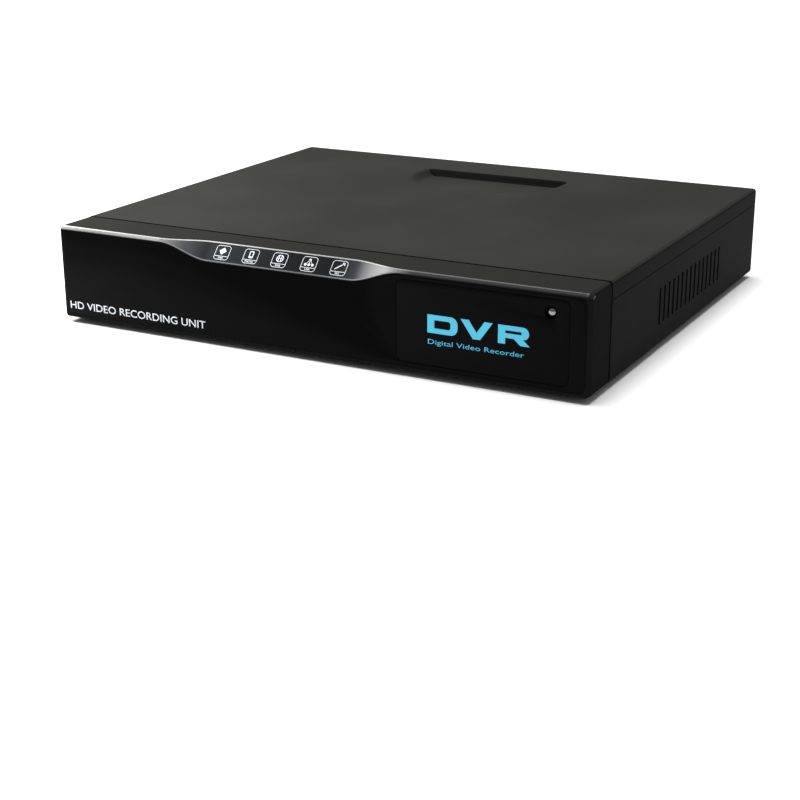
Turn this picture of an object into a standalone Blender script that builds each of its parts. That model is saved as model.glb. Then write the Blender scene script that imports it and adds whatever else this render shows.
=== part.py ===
"""A compact surveillance video recorder: a folded steel case with a moulded front, its rear
connectors, its boards and its hard disk, each a separate piece.

The case faces -Y, +X is the viewer's right and +Z is up. The origin is the middle of the box that
holds the whole recorder, on the surface that the feet stand on. Sizes below are in millimetres,
and build() turns them into metres.
"""

from math import cos, radians, sin, sqrt

import bmesh
import bpy
from mathutils import Matrix, Vector

MM = 0.001

# ---- driving dimensions -------------------------------------------------------------------
CASE_W = 255.0
CASE_D = 218.0
CASE_H = 42.0
FOOT_H = 2.5  # how far the feet lift the case
PLUG_PROUD = 11.0  # the terminal plug is the piece that reaches furthest behind the case
BEZEL_D = 22.0
SHEET = 0.8  # steel of the cover and the chassis
PANEL_T = 1.0  # steel of the connector panel
GAP = 0.3  # clearance between pieces that touch
COVER_LIP = 7.6  # how far the cover folds down each side
FLANGE = 3.0  # folds at the rear, top and bottom
SIDE_FLANGE = 3.5

# ---- planes that follow from them ---------------------------------------------------------
SIDE = CASE_W / 2
FRONT = -(CASE_D + PLUG_PROUD) / 2
BACK = FRONT + CASE_D
SEAM = FRONT + BEZEL_D
BASE = FOOT_H
TOP = BASE + CASE_H
FLOOR = BASE + SHEET  # upper face of the chassis bottom
LIP_Z = TOP - COVER_LIP
PANEL_OUT = BACK - SHEET - GAP  # outer face of the connector panel
PANEL_IN = PANEL_OUT - PANEL_T
BOARD_Z = FLOOR + 5.8  # upper face of the main board
ON_BOARD = BOARD_Z + GAP  # where a connector stands on it
BOARD_T = 1.6

# ---- connectors, as (x, z) on the rear panel ----------------------------------------------
VIDEO_X = (10.8, 29.3)
VIDEO_Z = (31.4, 16.1)
VIDEO_HOLE_R = 6.7
VIDEO_PROUD = 10.3
SPARE_ROUND = ((53.5, 31.4), (72.0, 31.4), (53.5, 16.1), (72.0, 16.1), (-7.6, 31.4))
AUDIO_OUT = (-7.6, 16.1)
AUDIO_X = (-68.8, -55.0)
AUDIO_Z = (29.6, 15.6)
AUDIO_HOLE_R = 5.25
AUDIO_PROUD = 7.4
AUDIO_OUT_PROUD = 8.0
VGA = (-32.4, 31.5)
VGA_SIZE = (16.4, 8.0)
VGA_POST_PITCH = 25.0
HDMI = (-26.9, 12.5)
HDMI_SIZE = (14.6, 5.6)
LAN_X = -86.9
LAN_SIZE = (17.2, 30.2)  # shield width and height
DC_JACK = (-111.8, 14.9)
DC_SIZE = (8.8, 10.6)
DC_BORE_Z = 16.0
TERMINAL_X = -101.6
TERMINAL_PITCH = 3.81
HEADER_SIZE = (8.4, 7.6)
PLUG_SIZE = (8.0, 10.8)
PLUG_Z = 6.0
GROUND = (119.8, 13.8)
VIDEO_SCREW = (16.6, 23.7)
AUDIO_SCREW = (-61.9, 22.6)
SPARE_R = 6.3
SPARE_HOLE = (59.2, 23.4)
COVER_SCREW = (116.5, 39.0)
SIDE_SCREW = (122.9, 21.9)

# ---- hard disk ----------------------------------------------------------------------------
DISK_SIZE = (147.0, 101.6, 26.1)
DISK_CORNER = (-115.0, -87.0, FLOOR + 2.3)
SPINDLE = (-62.0, -36.2)
PIVOT = (-3.5, -52.0)
PLATTER_R = 47.5
PARKED_DEG = 121.0  # direction in which the arm points when parked


# ---- shape helpers ------------------------------------------------------------------------
def arc(cx, cy, radius, start, end, steps):
    """Points along a circle from one angle to another, in degrees."""
    turns = [radians(start + (end - start) * i / steps) for i in range(steps + 1)]
    return [(cx + radius * cos(t), cy + radius * sin(t)) for t in turns]


def rectangle(x0, y0, x1, y1):
    return [(x0, y0), (x1, y0), (x1, y1), (x0, y1)]


def rounded(x0, y0, x1, y1, radius):
    """A rectangle's outline with round corners."""
    steps = 3
    return (
        arc(x1 - radius, y0 + radius, radius, -90, 0, steps)
        + arc(x1 - radius, y1 - radius, radius, 0, 90, steps)
        + arc(x0 + radius, y1 - radius, radius, 90, 180, steps)
        + arc(x0 + radius, y0 + radius, radius, 180, 270, steps)
    )


def disc(cx, cy, radius, sides):
    return arc(cx, cy, radius, 0, 360 * (sides - 1) / sides, sides - 1)


def placed(axis, u, v, w):
    """A point from its two outline coordinates and its place along the extrusion axis."""
    return {"X": (w, u, v), "Y": (u, w, v), "Z": (u, v, w)}[axis]


def outward(bm, faces):
    """Turns a closed shape's faces so that they point out of it."""
    bmesh.ops.recalc_face_normals(bm, faces=faces)


def add_prism(bm, outline, axis, low, high):
    """Extrudes a flat outline along an axis between two places."""
    base = bm.faces.new([bm.verts.new(placed(axis, u, v, low)) for u, v in outline])
    made = bmesh.ops.extrude_face_region(bm, geom=[base])["geom"]
    step = Vector(placed(axis, 0, 0, high - low))
    moved = [g for g in made if isinstance(g, bmesh.types.BMVert)]
    bmesh.ops.translate(bm, verts=moved, vec=step)
    faces = {f for v in moved for f in v.link_faces} | {base}
    outward(bm, list(faces))


def add_box(bm, low, high):
    add_prism(bm, rectangle(low[0], low[1], high[0], high[1]), "Z", low[2], high[2])


def add_lathe(bm, profile, sides, centre=(0, 0, 0), axis="Y"):
    """Turns a closed profile of (radius, place along the axis) about an axis through centre."""
    rings = []
    for radius, along in profile:
        if radius == 0:
            rings.append([bm.verts.new(Vector(placed(axis, 0, 0, along)) + Vector(centre))])
            continue
        points = disc(0, 0, radius, sides)
        rings.append(
            [bm.verts.new(Vector(placed(axis, u, v, along)) + Vector(centre)) for u, v in points]
        )
    faces = []
    for ring, following in zip(rings, rings[1:] + rings[:1]):
        for i in range(sides):
            j = (i + 1) % sides
            corners = [ring[i % len(ring)], ring[j % len(ring)]]
            corners += [following[j % len(following)], following[i % len(following)]]
            corners = list(dict.fromkeys(corners))
            if len(corners) > 2:
                faces.append(bm.faces.new(corners))
    outward(bm, faces)


def add_loft(bm, sections):
    """Joins closed outlines of equal length, one after another, and caps both ends."""
    rings = [[bm.verts.new(point) for point in section] for section in sections]
    faces = [bm.faces.new(rings[0]), bm.faces.new(rings[-1])]
    count = len(rings[0])
    for ring, following in zip(rings, rings[1:]):
        for i in range(count):
            j = (i + 1) % count
            faces.append(bm.faces.new([ring[i], ring[j], following[j], following[i]]))
    outward(bm, faces)


def add_ribbon(bm, route, across, width, thickness, steps=6):
    """Sweeps a flat cable's section along a smooth curve through the points of a route."""
    points = smooth_route(route, steps)
    across = Vector(across).normalized()
    sections = []
    for i, here in enumerate(points):
        ahead = points[min(i + 1, len(points) - 1)] - points[max(i - 1, 0)]
        normal = ahead.cross(across).normalized() * thickness / 2
        half = across * width / 2
        sections.append([here + half + normal, here - half + normal])
        sections[-1] += [here - half - normal, here + half - normal]
    add_loft(bm, sections)


def smooth_route(route, steps):
    """Points on a Catmull-Rom curve through every point of a route."""
    knots = [Vector(p) for p in route]
    knots = [2 * knots[0] - knots[1]] + knots + [2 * knots[-1] - knots[-2]]
    points = []
    for a, b, c, d in zip(knots, knots[1:], knots[2:], knots[3:]):
        for i in range(steps):
            t = i / steps
            bend = (2 * a - 5 * b + 4 * c - d) * t * t + (3 * b - 3 * c + d - a) * t**3
            points.append(0.5 * (2 * b + (c - a) * t + bend))
    return points + [knots[-2]]


def shape():
    return bmesh.new()


def scratch(bm):
    """A temporary object for a Boolean."""
    mesh = bpy.data.meshes.new("scratch")
    bm.to_mesh(mesh)
    bm.free()
    obj = bpy.data.objects.new("scratch", mesh)
    bpy.context.scene.collection.objects.link(obj)
    return obj


def combine(bm, tool, operation):
    """The Boolean of two shapes, as a new shape. EXACT also takes a tool of several bodies."""
    body, other = scratch(bm), scratch(tool)
    modifier = body.modifiers.new("combine", "BOOLEAN")
    modifier.operation = operation
    modifier.solver = "EXACT"
    modifier.use_self = True
    modifier.object = other
    graph = bpy.context.evaluated_depsgraph_get()
    result = bmesh.new()
    result.from_mesh(body.evaluated_get(graph).to_mesh())
    for used in (body, other):
        bpy.data.meshes.remove(used.data)
    bmesh.ops.remove_doubles(result, verts=result.verts, dist=1e-4)
    bmesh.ops.dissolve_degenerate(result, edges=result.edges, dist=1e-4)
    return result


def cut(bm, tool):
    return combine(bm, tool, "DIFFERENCE")


def fuse(bm, *tools):
    for tool in tools:
        bm = combine(bm, tool, "UNION")
    return bm


def material(name, red, green, blue, roughness, metallic=0.0):
    made = bpy.data.materials.new(name)
    made.use_nodes = True
    made.diffuse_color = (red, green, blue, 1)
    shader = made.node_tree.nodes["Principled BSDF"]
    shader.inputs["Base Color"].default_value = (red, green, blue, 1)
    shader.inputs["Roughness"].default_value = roughness
    shader.inputs["Metallic"].default_value = metallic
    return made


def finished_mesh(name, bm, finish):
    """A mesh in metres, flat where it is flat and smooth where it is round."""
    mesh = bpy.data.meshes.new(name)
    bmesh.ops.scale(bm, vec=(MM, MM, MM), verts=bm.verts)
    bm.to_mesh(mesh)
    bm.free()
    mesh.materials.append(finish)
    mesh.shade_smooth()
    mesh.set_sharp_from_angle(angle=radians(32))
    return mesh


def place(name, mesh, at, parent):
    """One named object at a place given in millimetres in the recorder's own frame."""
    obj = bpy.data.objects.new(name, mesh)
    bpy.context.scene.collection.objects.link(obj)
    obj.parent = parent
    obj.location = (Vector(at) * MM) - parent.location
    return obj


def build(name, bm, finish, parent, at=(0, 0, 0)):
    return place(name, finished_mesh(name, bm, finish), at, parent)


def empty(name, at=(0, 0, 0), parent=None):
    obj = bpy.data.objects.new(name, None)
    bpy.context.scene.collection.objects.link(obj)
    obj.parent = parent
    obj.location = Vector(at) * MM
    return obj


# ---- the front edge of the bezel ----------------------------------------------------------
# The bezel's upper front edge is a small chamfer which widens, over the left half of the front,
# into a sloping window for the five indicators.
EDGE = 1.3
WINDOW_DROP = 5.8
WINDOW_SETBACK = 5.2
WINDOW_RISE = (-72.0, -48.0)
WINDOW_FALL = (21.5, 45.5)
CORNER_R = 2.4


def ease(x, start, end):
    t = min(1.0, max(0.0, (x - start) / (end - start)))
    return t * t * (3 - 2 * t)


def window(x):
    """How far open the indicator window is at x: 0 outside it and 1 along its middle."""
    return ease(x, *WINDOW_RISE) * (1 - ease(x, *WINDOW_FALL))


def window_foot(x):
    """Height of the sloping face's lower edge, on the front plane."""
    return TOP - EDGE - WINDOW_DROP * window(x)


def window_head(x):
    """Depth of the sloping face's upper edge, on the top plane."""
    return FRONT + EDGE + WINDOW_SETBACK * window(x)


def stations(start, end, count):
    return [start + (end - start) * i / count for i in range(count + 1)]


def window_stations():
    """Places along x where the bezel's section is drawn: close together where the window opens."""
    rise = stations(WINDOW_RISE[0], WINDOW_RISE[1], 6)
    return rise + stations(WINDOW_FALL[0], WINDOW_FALL[1], 6)


def corner_inset(x):
    """How far the bezel's outline draws in near its two ends, which makes its round corners."""
    into = abs(x) - (SIDE - CORNER_R)
    return CORNER_R - sqrt(max(0.0, CORNER_R**2 - into**2)) if into > 0 else 0.0


def corner_stations():
    return [SIDE - CORNER_R + CORNER_R * sin(radians(a)) for a in (0, 22, 45, 66, 84)]


def bezel_section(x):
    """The bezel's outline at x, as points (x, y, z), with the cavity not yet cut."""
    inset = corner_inset(x)
    front, top, bottom = FRONT + inset, TOP - inset, BASE + inset
    return [
        (x, SEAM, bottom),
        (x, front + EDGE, bottom),
        (x, front + EDGE * 0.3, bottom + EDGE * 0.3),
        (x, front, bottom + EDGE),
        (x, front, window_foot(x) - inset),
        (x, window_head(x) + inset, top),
        (x, SEAM, top),
    ]


# ---- case ---------------------------------------------------------------------------------
CLIP_X = (-96.0, 84.0)
CLIP_Z = (8.0, 39.0)
CLIP_W = 9.0
CLIP_T = 1.6
WALL = 2.2  # moulded wall
FRONT_WALL = 3.0
TONGUE = 3.0  # how far the bezel reaches in under the cover
FASCIA_T = 1.2
FASCIA_SIDE = SIDE - 1.7
FASCIA_LOW = BASE + 1.6
INDICATOR_X = (-41.6, -27.3, -13.1, 1.3, 15.6)
INDICATOR_Z = 39.0
LENS = (111.0, 35.4)
LENS_R = 2.4
GROOVE_BOX = (43.6, 6.2, 119.3, 41.2)
GROOVE_W = 0.45
GROOVE_DEPTH = 0.35


def fascia_outline(grow):
    """The glossy front plate's outline in x and z, grown by a clearance."""
    reach, low = FASCIA_SIDE + grow, FASCIA_LOW - grow
    crest = [(x, window_foot(x) - 0.75 + grow) for x in window_stations()]
    high = window_foot(SIDE) - 0.75 + grow
    radius = 2.0
    return (
        arc(reach - radius, low + radius, radius, -90, 0, 3)
        + arc(reach - radius, high - radius, radius, 0, 90, 3)
        + crest[::-1]
        + arc(-reach + radius, high - radius, radius, 90, 180, 3)
        + arc(-reach + radius, low + radius, radius, 180, 270, 3)
    )


def strip_sections(grow):
    """Sections of the indicator strip, which lies in the sloping face. grow is a clearance."""
    sections = []
    start, end = WINDOW_RISE[0] + 8, WINDOW_FALL[1] - 8
    for x in stations(start, WINDOW_RISE[1], 6) + stations(WINDOW_FALL[0], end, 6):
        foot = Vector((0, FRONT, window_foot(x)))
        head = Vector((0, window_head(x), TOP))
        along = (head - foot).normalized()
        inward = Vector((0, along.z, -along.y))
        low = foot + along * (0.95 - grow)
        high = head - along * (0.8 - grow)
        deep = 0.8 + grow
        shift = Vector((x + (grow if x == end else -grow if x == start else 0), 0, 0))
        lift = -inward * grow * 4
        corners = (low + lift, high + lift, high + inward * deep, low + inward * deep)
        sections.append([shift + c for c in corners])
    return sections


def bezel_shell():
    """The moulded front: a lofted solid, hollowed from behind."""
    ends = corner_stations()
    places = [-x for x in ends[::-1]] + window_stations() + ends
    body = shape()
    add_loft(body, [bezel_section(x) for x in places])
    inner = SIDE - WALL
    hollow = shape()
    sections = []
    for x in [-inner] + window_stations() + [inner]:
        front = FRONT + FRONT_WALL
        sections.append(
            [
                (x, SEAM + 1, BASE + WALL),
                (x, front, BASE + WALL),
                (x, front, window_foot(x) - 2.0),
                (x, window_head(x) + 2.2, TOP - WALL),
                (x, SEAM + 1, TOP - WALL),
            ]
        )
    add_loft(hollow, sections)
    body = cut(body, hollow)
    pockets = shape()
    add_prism(pockets, fascia_outline(0.15), "Y", FRONT - 1, FRONT + FASCIA_T + 0.15)
    body = cut(body, pockets)
    strip = shape()
    add_loft(strip, strip_sections(0.15))
    body = cut(body, strip)
    sight = shape()
    add_prism(sight, disc(LENS[0], LENS[1], LENS_R + 0.25, 20), "Y", FRONT - 1, FRONT + 5)
    for x in INDICATOR_X:
        add_prism(sight, disc(x, INDICATOR_Z, 1.3, 12), "Y", FRONT, FRONT + 9)
    return cut(body, sight)


def front_bezel(finish, parent):
    """The shell, with the tongues and the snap clips that hold it to the chassis."""
    body = bezel_shell()
    outer_x, outer_z = SIDE - SHEET - 1.4, TOP - SHEET - GAP
    for sign in (-1, 1):
        tongue = shape()
        x0, x1 = sorted((sign * outer_x, sign * (outer_x - 1.2)))
        add_box(tongue, (x0, SEAM - 4, BASE + 6), (x1, SEAM + TONGUE, outer_z - 2))
        x0, x1 = sorted((sign * (SIDE - 1), sign * (outer_x - 1.2)))
        add_box(tongue, (x0, SEAM - 4, BASE + 6), (x1, SEAM - 2, outer_z - 2))
        body = fuse(body, tongue)
    tongue = shape()
    add_box(tongue, (-outer_x + 3, SEAM - 4, outer_z - 1.2), (outer_x - 3, SEAM + TONGUE, outer_z))
    body = fuse(body, tongue)
    for x in CLIP_X:
        for z, toward in zip(CLIP_Z, (-1, 1)):
            clip = shape()
            add_box(clip, (x, SEAM - 12, z), (x + CLIP_W, SEAM + 5, z + CLIP_T))
            wall = BASE + 1 if toward < 0 else TOP - 1
            z0, z1 = sorted((wall, z + CLIP_T / 2))
            add_box(clip, (x + 1, SEAM - 12, z0), (x + CLIP_W - 1, SEAM - 9, z1))
            body = fuse(body, clip)
    return build("front_bezel", body, finish, parent)


def front_fascia(finish, parent):
    """The glossy plate on the front, with the fine line that frames its right-hand field."""
    body = shape()
    add_prism(body, fascia_outline(0), "Y", FRONT, FRONT + FASCIA_T)
    line = shape()
    x0, z0, x1, z1 = GROOVE_BOX
    add_prism(line, rounded(x0, z0, x1, z1, 3.0), "Y", FRONT - 1, FRONT + GROOVE_DEPTH)
    core = shape()
    w = GROOVE_W
    add_prism(core, rounded(x0 + w, z0 + w, x1 - w, z1 - w, 2.6), "Y", FRONT - 2, FRONT + 1)
    body = cut(body, cut(line, core))
    hole = shape()
    add_prism(hole, disc(LENS[0], LENS[1], LENS_R + 0.2, 20), "Y", FRONT - 1, FRONT + 3)
    return build("front_fascia", cut(body, hole), finish, parent)


def indicator_strip(finish, parent):
    body = shape()
    add_loft(body, strip_sections(0))
    return build("indicator_strip", body, finish, parent)


def receiver_lens(finish, parent):
    """The domed window of the remote-control receiver."""
    dome = [(LENS_R * sin(radians(a)), 1.6 - 1.6 * cos(radians(a))) for a in (0, 30, 60, 90)]
    profile = dome + [(LENS_R, 5.2), (0, 5.2)]
    body = shape()
    add_lathe(body, profile, 20)
    return build("receiver_lens", body, finish, parent, (LENS[0], FRONT + 0.25, LENS[1]))


BEND_R = 1.5
SCOOP_R = 41.0
SCOOP_APEX = 27.5  # y of its shallow front
SCOOP_WALL = 77.5  # y of its steep rear wall
SCOOP_DEPTH = 3.7
TAB_R = 5.0


def cover_profile():
    """Section of the cover across the case: the top sheet and its two folded lips."""
    outer = arc(SIDE - BEND_R, TOP - BEND_R, BEND_R, 0, 90, 3)
    outer += arc(-SIDE + BEND_R, TOP - BEND_R, BEND_R, 90, 180, 3)
    inner_r = BEND_R - SHEET
    inner = arc(-SIDE + BEND_R, TOP - BEND_R, inner_r, 180, 90, 2)
    inner += arc(SIDE - BEND_R, TOP - BEND_R, inner_r, 90, 0, 2)
    ends = [(-SIDE, LIP_Z), (-SIDE + SHEET, LIP_Z)]
    return [(SIDE, LIP_Z)] + outer + ends + inner + [(SIDE - SHEET, LIP_Z)]


def scoop_outline(grow):
    """Plan of the finger recess: a half disc with a short straight part behind it."""
    middle = SCOOP_APEX + SCOOP_R
    reach = SCOOP_R + grow
    front = arc(0, middle, reach, 180, 360, 18)
    return front + [(reach, SCOOP_WALL + grow), (-reach, SCOOP_WALL + grow)]


def add_scoop(bm, grow, above):
    """The recess as a solid between a flat top and a floor that falls towards the rear."""
    outline = scoop_outline(grow)
    slope = SCOOP_DEPTH / (SCOOP_WALL - SCOOP_APEX)
    floor = [(x, y, TOP - 0.05 - grow - slope * (y - SCOOP_APEX)) for x, y in outline]
    add_loft(bm, [[(x, y, above) for x, y in outline], floor])


def top_cover(finish, parent):
    body = shape()
    add_prism(body, cover_profile(), "Y", SEAM + GAP, BACK)
    flanges = shape()
    low, edge = TOP - FLANGE, 0.4
    inner = SIDE - SIDE_FLANGE
    mitre = [(-SIDE + 1.0, TOP - edge), (SIDE - 1.0, TOP - edge), (inner, low), (-inner, low)]
    add_prism(flanges, mitre, "Y", BACK - SHEET, BACK)
    body = fuse(body, flanges)
    for sign in (-1, 1):
        x = sign * COVER_SCREW[0]
        tab = shape()
        outline = [(x + TAB_R, low + 0.5)] + arc(x, 40.2, TAB_R, 0, -180, 12)
        add_prism(tab, outline + [(x - TAB_R, low + 0.5)], "Y", BACK - SHEET, BACK)
        corner = shape()
        side = [(sign * (SIDE - 0.4), TOP - 1.8), (sign * (SIDE - 0.4), LIP_Z)]
        side += [(sign * inner, LIP_Z), (sign * inner, low - 0.9)]
        add_prism(corner, side, "Y", BACK - SHEET, BACK)
        body = fuse(body, tab, corner)
    pressed = shape()
    add_scoop(pressed, SHEET, TOP - SHEET / 2)
    body = fuse(body, pressed)
    hollow = shape()
    add_scoop(hollow, 0, TOP + 1)
    body = cut(body, hollow)
    holes = shape()
    for sign in (-1, 1):
        add_prism(holes, disc(sign * COVER_SCREW[0], COVER_SCREW[1], 1.75, 12), "Y", BACK - 5, BACK + 5)
    return build("top_cover", cut(body, holes), finish, parent)


VENT_COUNT = 15
VENT_Y = (-34.6, 46.8)
VENT_Z = (11.7, 27.9)
VENT_W = 2.2
STANDOFFS = ((-112, 34), (-112, 90), (45, 26), (45, 92), (84, 34))
DISK_SCREWS = ((-87.0, -82.0), (-42.5, -82.0), (-87.0, 9.5), (-42.5, 9.5))
CABLE_X = 52.0  # where the flat cable passes through the chassis
STEP_IN = SHEET + GAP  # the chassis wall steps in behind the cover's lip


def chassis_profile():
    """Section of the chassis: the bottom and two walls, each stepped in under the cover."""
    top = LIP_Z - GAP
    right_outer = arc(SIDE - 1.2, BASE + 1.2, 1.2, -90, 0, 2)
    right_outer += [(SIDE, top), (SIDE - STEP_IN, top + 0.1), (SIDE - STEP_IN, TOP - 2.1)]
    deep = SIDE - STEP_IN - SHEET
    right_inner = [(deep, TOP - 2.1), (deep, top - 0.8), (SIDE - SHEET, top - 0.9)]
    right_inner += [(SIDE - SHEET, FLOOR)]
    right = right_outer + right_inner
    return right + [(-x, z) for x, z in right[::-1]]


def chassis_flanges():
    """The folds at the rear, mitred at the lower corners, with a screw tab on each side."""
    made = shape()
    low = [(-SIDE + 1.0, BASE + 0.4), (SIDE - 1.0, BASE + 0.4)]
    low += [(SIDE - SIDE_FLANGE - 0.3, BASE + FLANGE), (-SIDE + SIDE_FLANGE + 0.3, BASE + FLANGE)]
    add_prism(made, low, "Y", BACK - SHEET, BACK)
    parts = [made]
    for sign in (-1, 1):
        side = shape()
        inner = sign * (SIDE - SIDE_FLANGE)
        x, z = sign * SIDE_SCREW[0], SIDE_SCREW[1]
        bulge = arc(x, z, 3.9, -75 if sign < 0 else 255, 75 if sign < 0 else 105, 8)
        edge = sign * (SIDE - 0.4)
        outline = [(edge, BASE + 1.0), (inner, BASE + FLANGE + 0.8), (inner, z - 4.1)] + bulge
        outline += [(inner, z + 4.1), (inner, LIP_Z - GAP), (edge, LIP_Z - GAP)]
        add_prism(side, outline, "Y", BACK - SHEET, BACK)
        parts.append(side)
    return parts


def chassis(finish, parent):
    body = shape()
    add_prism(body, chassis_profile(), "Y", SEAM + GAP, BACK)
    body = fuse(body, *chassis_flanges())
    wall = shape()
    reach = SIDE - 4.2
    add_box(wall, (-reach, SEAM + GAP, BASE + 0.3), (reach, SEAM + GAP + SHEET, TOP - 3.4))
    posts = [wall]
    for x, y in STANDOFFS:
        post = shape()
        add_lathe(post, [(0, FLOOR - 0.4), (2.6, FLOOR - 0.4), (2.6, BOARD_Z - BOARD_T - GAP),
                         (0, BOARD_Z - BOARD_T - GAP)], 10, (x, y, 0), "Z")
        posts.append(post)
    for x, y in DISK_SCREWS:
        boss = shape()
        add_lathe(boss, [(0, FLOOR - 0.4), (4.5, FLOOR - 0.4), (3.5, FLOOR + 2.0),
                         (0, FLOOR + 2.0)], 12, (x, y, 0), "Z")
        posts.append(boss)
    body = fuse(body, *posts)
    holes = shape()
    for i in range(VENT_COUNT):
        y = VENT_Y[0] + (VENT_Y[1] - VENT_Y[0]) * i / (VENT_COUNT - 1)
        for sign in (-1, 1):
            x0, x1 = sorted((sign * (SIDE - 3), sign * (SIDE + 3)))
            add_box(holes, (x0, y - VENT_W / 2, VENT_Z[0]), (x1, y + VENT_W / 2, VENT_Z[1]))
    behind = BACK - SHEET - GAP  # the cover's own rear flange starts here
    for sign in (-1, 1):
        x0, x1 = sorted((sign * (SIDE - 3), sign * (SIDE + 3)))
        add_box(holes, (x0, behind, LIP_Z - GAP + 0.05), (x1, BACK + 1, TOP + 1))
    for sign in (-1, 1):
        add_prism(holes, disc(sign * SIDE_SCREW[0], SIDE_SCREW[1], 1.75, 12), "Y", BACK - 5, BACK + 5)
    for x in CLIP_X:
        for z in CLIP_Z:
            add_box(holes, (x - 0.8, SEAM - 1, z - 0.8), (x + CLIP_W + 0.8, SEAM + 2, z + CLIP_T + 0.8))
    add_box(holes, (CABLE_X - 9, SEAM - 1, 20), (CABLE_X + 9, SEAM + 2, 28))
    for x, y in DISK_SCREWS:
        add_prism(holes, disc(x, y, 1.7, 10), "Z", BASE - 1, FLOOR + 4)
    return build("chassis", cut(body, holes), finish, parent)


SCORE_DEPTH = 0.5
SCORE_W = 0.35


def add_spare_ring(bm, cx, cz):
    """The score line that a die leaves around a round blank, broken by a bridge at its top."""
    outer = arc(cx, cz, SPARE_R + SCORE_W, 105, 435, 15)
    inner = arc(cx, cz, SPARE_R, 435, 105, 15)
    add_prism(bm, outer + inner, "Y", PANEL_OUT - SCORE_DEPTH, PANEL_OUT + 1)


def add_spare_frame(bm, x0, z0, x1, z1):
    """The score line around a rectangular blank, broken in the middle of its top."""
    w, half, mid = SCORE_W, 1.6, (x0 + x1) / 2
    outer = [(mid - half, z1), (x0, z1), (x0, z0), (x1, z0), (x1, z1), (mid + half, z1)]
    inner = [(mid + half, z1 - w), (x1 - w, z1 - w), (x1 - w, z0 + w), (x0 + w, z0 + w)]
    inner += [(x0 + w, z1 - w), (mid - half, z1 - w)]
    add_prism(bm, outer + inner, "Y", PANEL_OUT - SCORE_DEPTH, PANEL_OUT + 1)


SPARE_ALARM = (83.9, 10.0, 104.9, 22.8)
SPARE_SWITCH = (-115.7, 24.1, -102.7, 32.0)


def centred(centre, size, grow=0.0):
    """A rectangle's outline from its centre, its size and a clearance."""
    w, h = size[0] / 2 + grow, size[1] / 2 + grow
    return rectangle(centre[0] - w, centre[1] - h, centre[0] + w, centre[1] + h)


def d_outline(centre, size, grow=0.0, radius=1.8):
    """A D-shaped connector's outline: its lower side is narrower than its upper one."""
    w, h, taper = size[0] / 2 + grow, size[1] / 2 + grow, 1.2
    cx, cz = centre
    return (
        arc(cx + w - taper - radius, cz - h + radius, radius, -90, -9, 2)
        + arc(cx + w - radius, cz + h - radius, radius, -9, 90, 3)
        + arc(cx - w + radius, cz + h - radius, radius, 90, 189, 3)
        + arc(cx - w + taper + radius, cz - h + radius, radius, 189, 270, 2)
    )


def hdmi_outline(grow=0.0):
    """A rectangle whose lower corners are cut off."""
    w, h, corner = HDMI_SIZE[0] / 2 + grow, HDMI_SIZE[1] / 2 + grow, 1.9
    cx, cz = HDMI
    return [
        (cx - w + corner, cz - h), (cx + w - corner, cz - h), (cx + w, cz - h + corner),
        (cx + w, cz + h), (cx - w, cz + h), (cx - w, cz - h + corner),
    ]


def rear_panel(finish, parent):
    body = shape()
    reach = SIDE - STEP_IN - SHEET - 0.4
    add_box(body, (-reach, PANEL_IN, FLOOR + 0.4), (reach, PANEL_OUT, TOP - SHEET - 0.4))
    cuts = shape()
    far, near = PANEL_IN - 1, PANEL_OUT + 1
    rounds = [(x, z, VIDEO_HOLE_R) for x in VIDEO_X for z in VIDEO_Z]
    rounds += [(*AUDIO_OUT, VIDEO_HOLE_R)]
    rounds += [(x, z, AUDIO_HOLE_R) for x in AUDIO_X for z in AUDIO_Z]
    for x, z, radius in rounds:
        add_prism(cuts, disc(x, z, radius, 20), "Y", far, near)
    small = [(s * COVER_SCREW[0], COVER_SCREW[1]) for s in (-1, 1)]
    small += [(s * SIDE_SCREW[0], SIDE_SCREW[1]) for s in (-1, 1)]
    small += [GROUND, VIDEO_SCREW, AUDIO_SCREW]
    for x, z in small:
        add_prism(cuts, disc(x, z, 1.75, 12), "Y", far, near)
    add_prism(cuts, disc(*SPARE_HOLE, 1.3, 12), "Y", far, near)
    for sign in (-1, 1):
        post = (VGA[0] + sign * VGA_POST_PITCH / 2, VGA[1])
        add_prism(cuts, disc(*post, 1.9, 12), "Y", far, near)
    add_prism(cuts, d_outline(VGA, VGA_SIZE, 0.4), "Y", far, near)
    add_prism(cuts, hdmi_outline(0.35), "Y", far, near)
    lan = (LAN_X, ON_BOARD + LAN_SIZE[1] / 2)
    add_prism(cuts, centred(lan, LAN_SIZE, 0.6), "Y", far, near)
    add_prism(cuts, centred(DC_JACK, DC_SIZE, 0.25), "Y", far, near)
    header = (TERMINAL_X, ON_BOARD + HEADER_SIZE[1] / 2)
    add_prism(cuts, centred(header, HEADER_SIZE, 0.25), "Y", far, near)
    body = cut(body, cuts)
    blanks = shape()
    for x, z in SPARE_ROUND:
        add_spare_ring(blanks, x, z)
    add_spare_frame(blanks, *SPARE_ALARM)
    add_spare_frame(blanks, *SPARE_SWITCH)
    return build("rear_panel", cut(body, blanks), finish, parent)


FEET = {"front_left": (-104, -82), "front_right": (104, -82),
        "rear_left": (-104, 76), "rear_right": (104, 76)}


def feet(finish, parent):
    """Four rubber feet, each a low cone with a rounded rim, stuck under the chassis."""
    body = shape()
    height = FOOT_H - 0.15
    add_lathe(body, [(0, 0), (6.4, 0), (7.0, 0.5), (7.5, height), (0, height)], 20, axis="Z")
    mesh = finished_mesh("foot", body, finish)
    for corner, (x, y) in FEET.items():
        place("foot_" + corner, mesh, (x, y, 0), parent)


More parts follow.
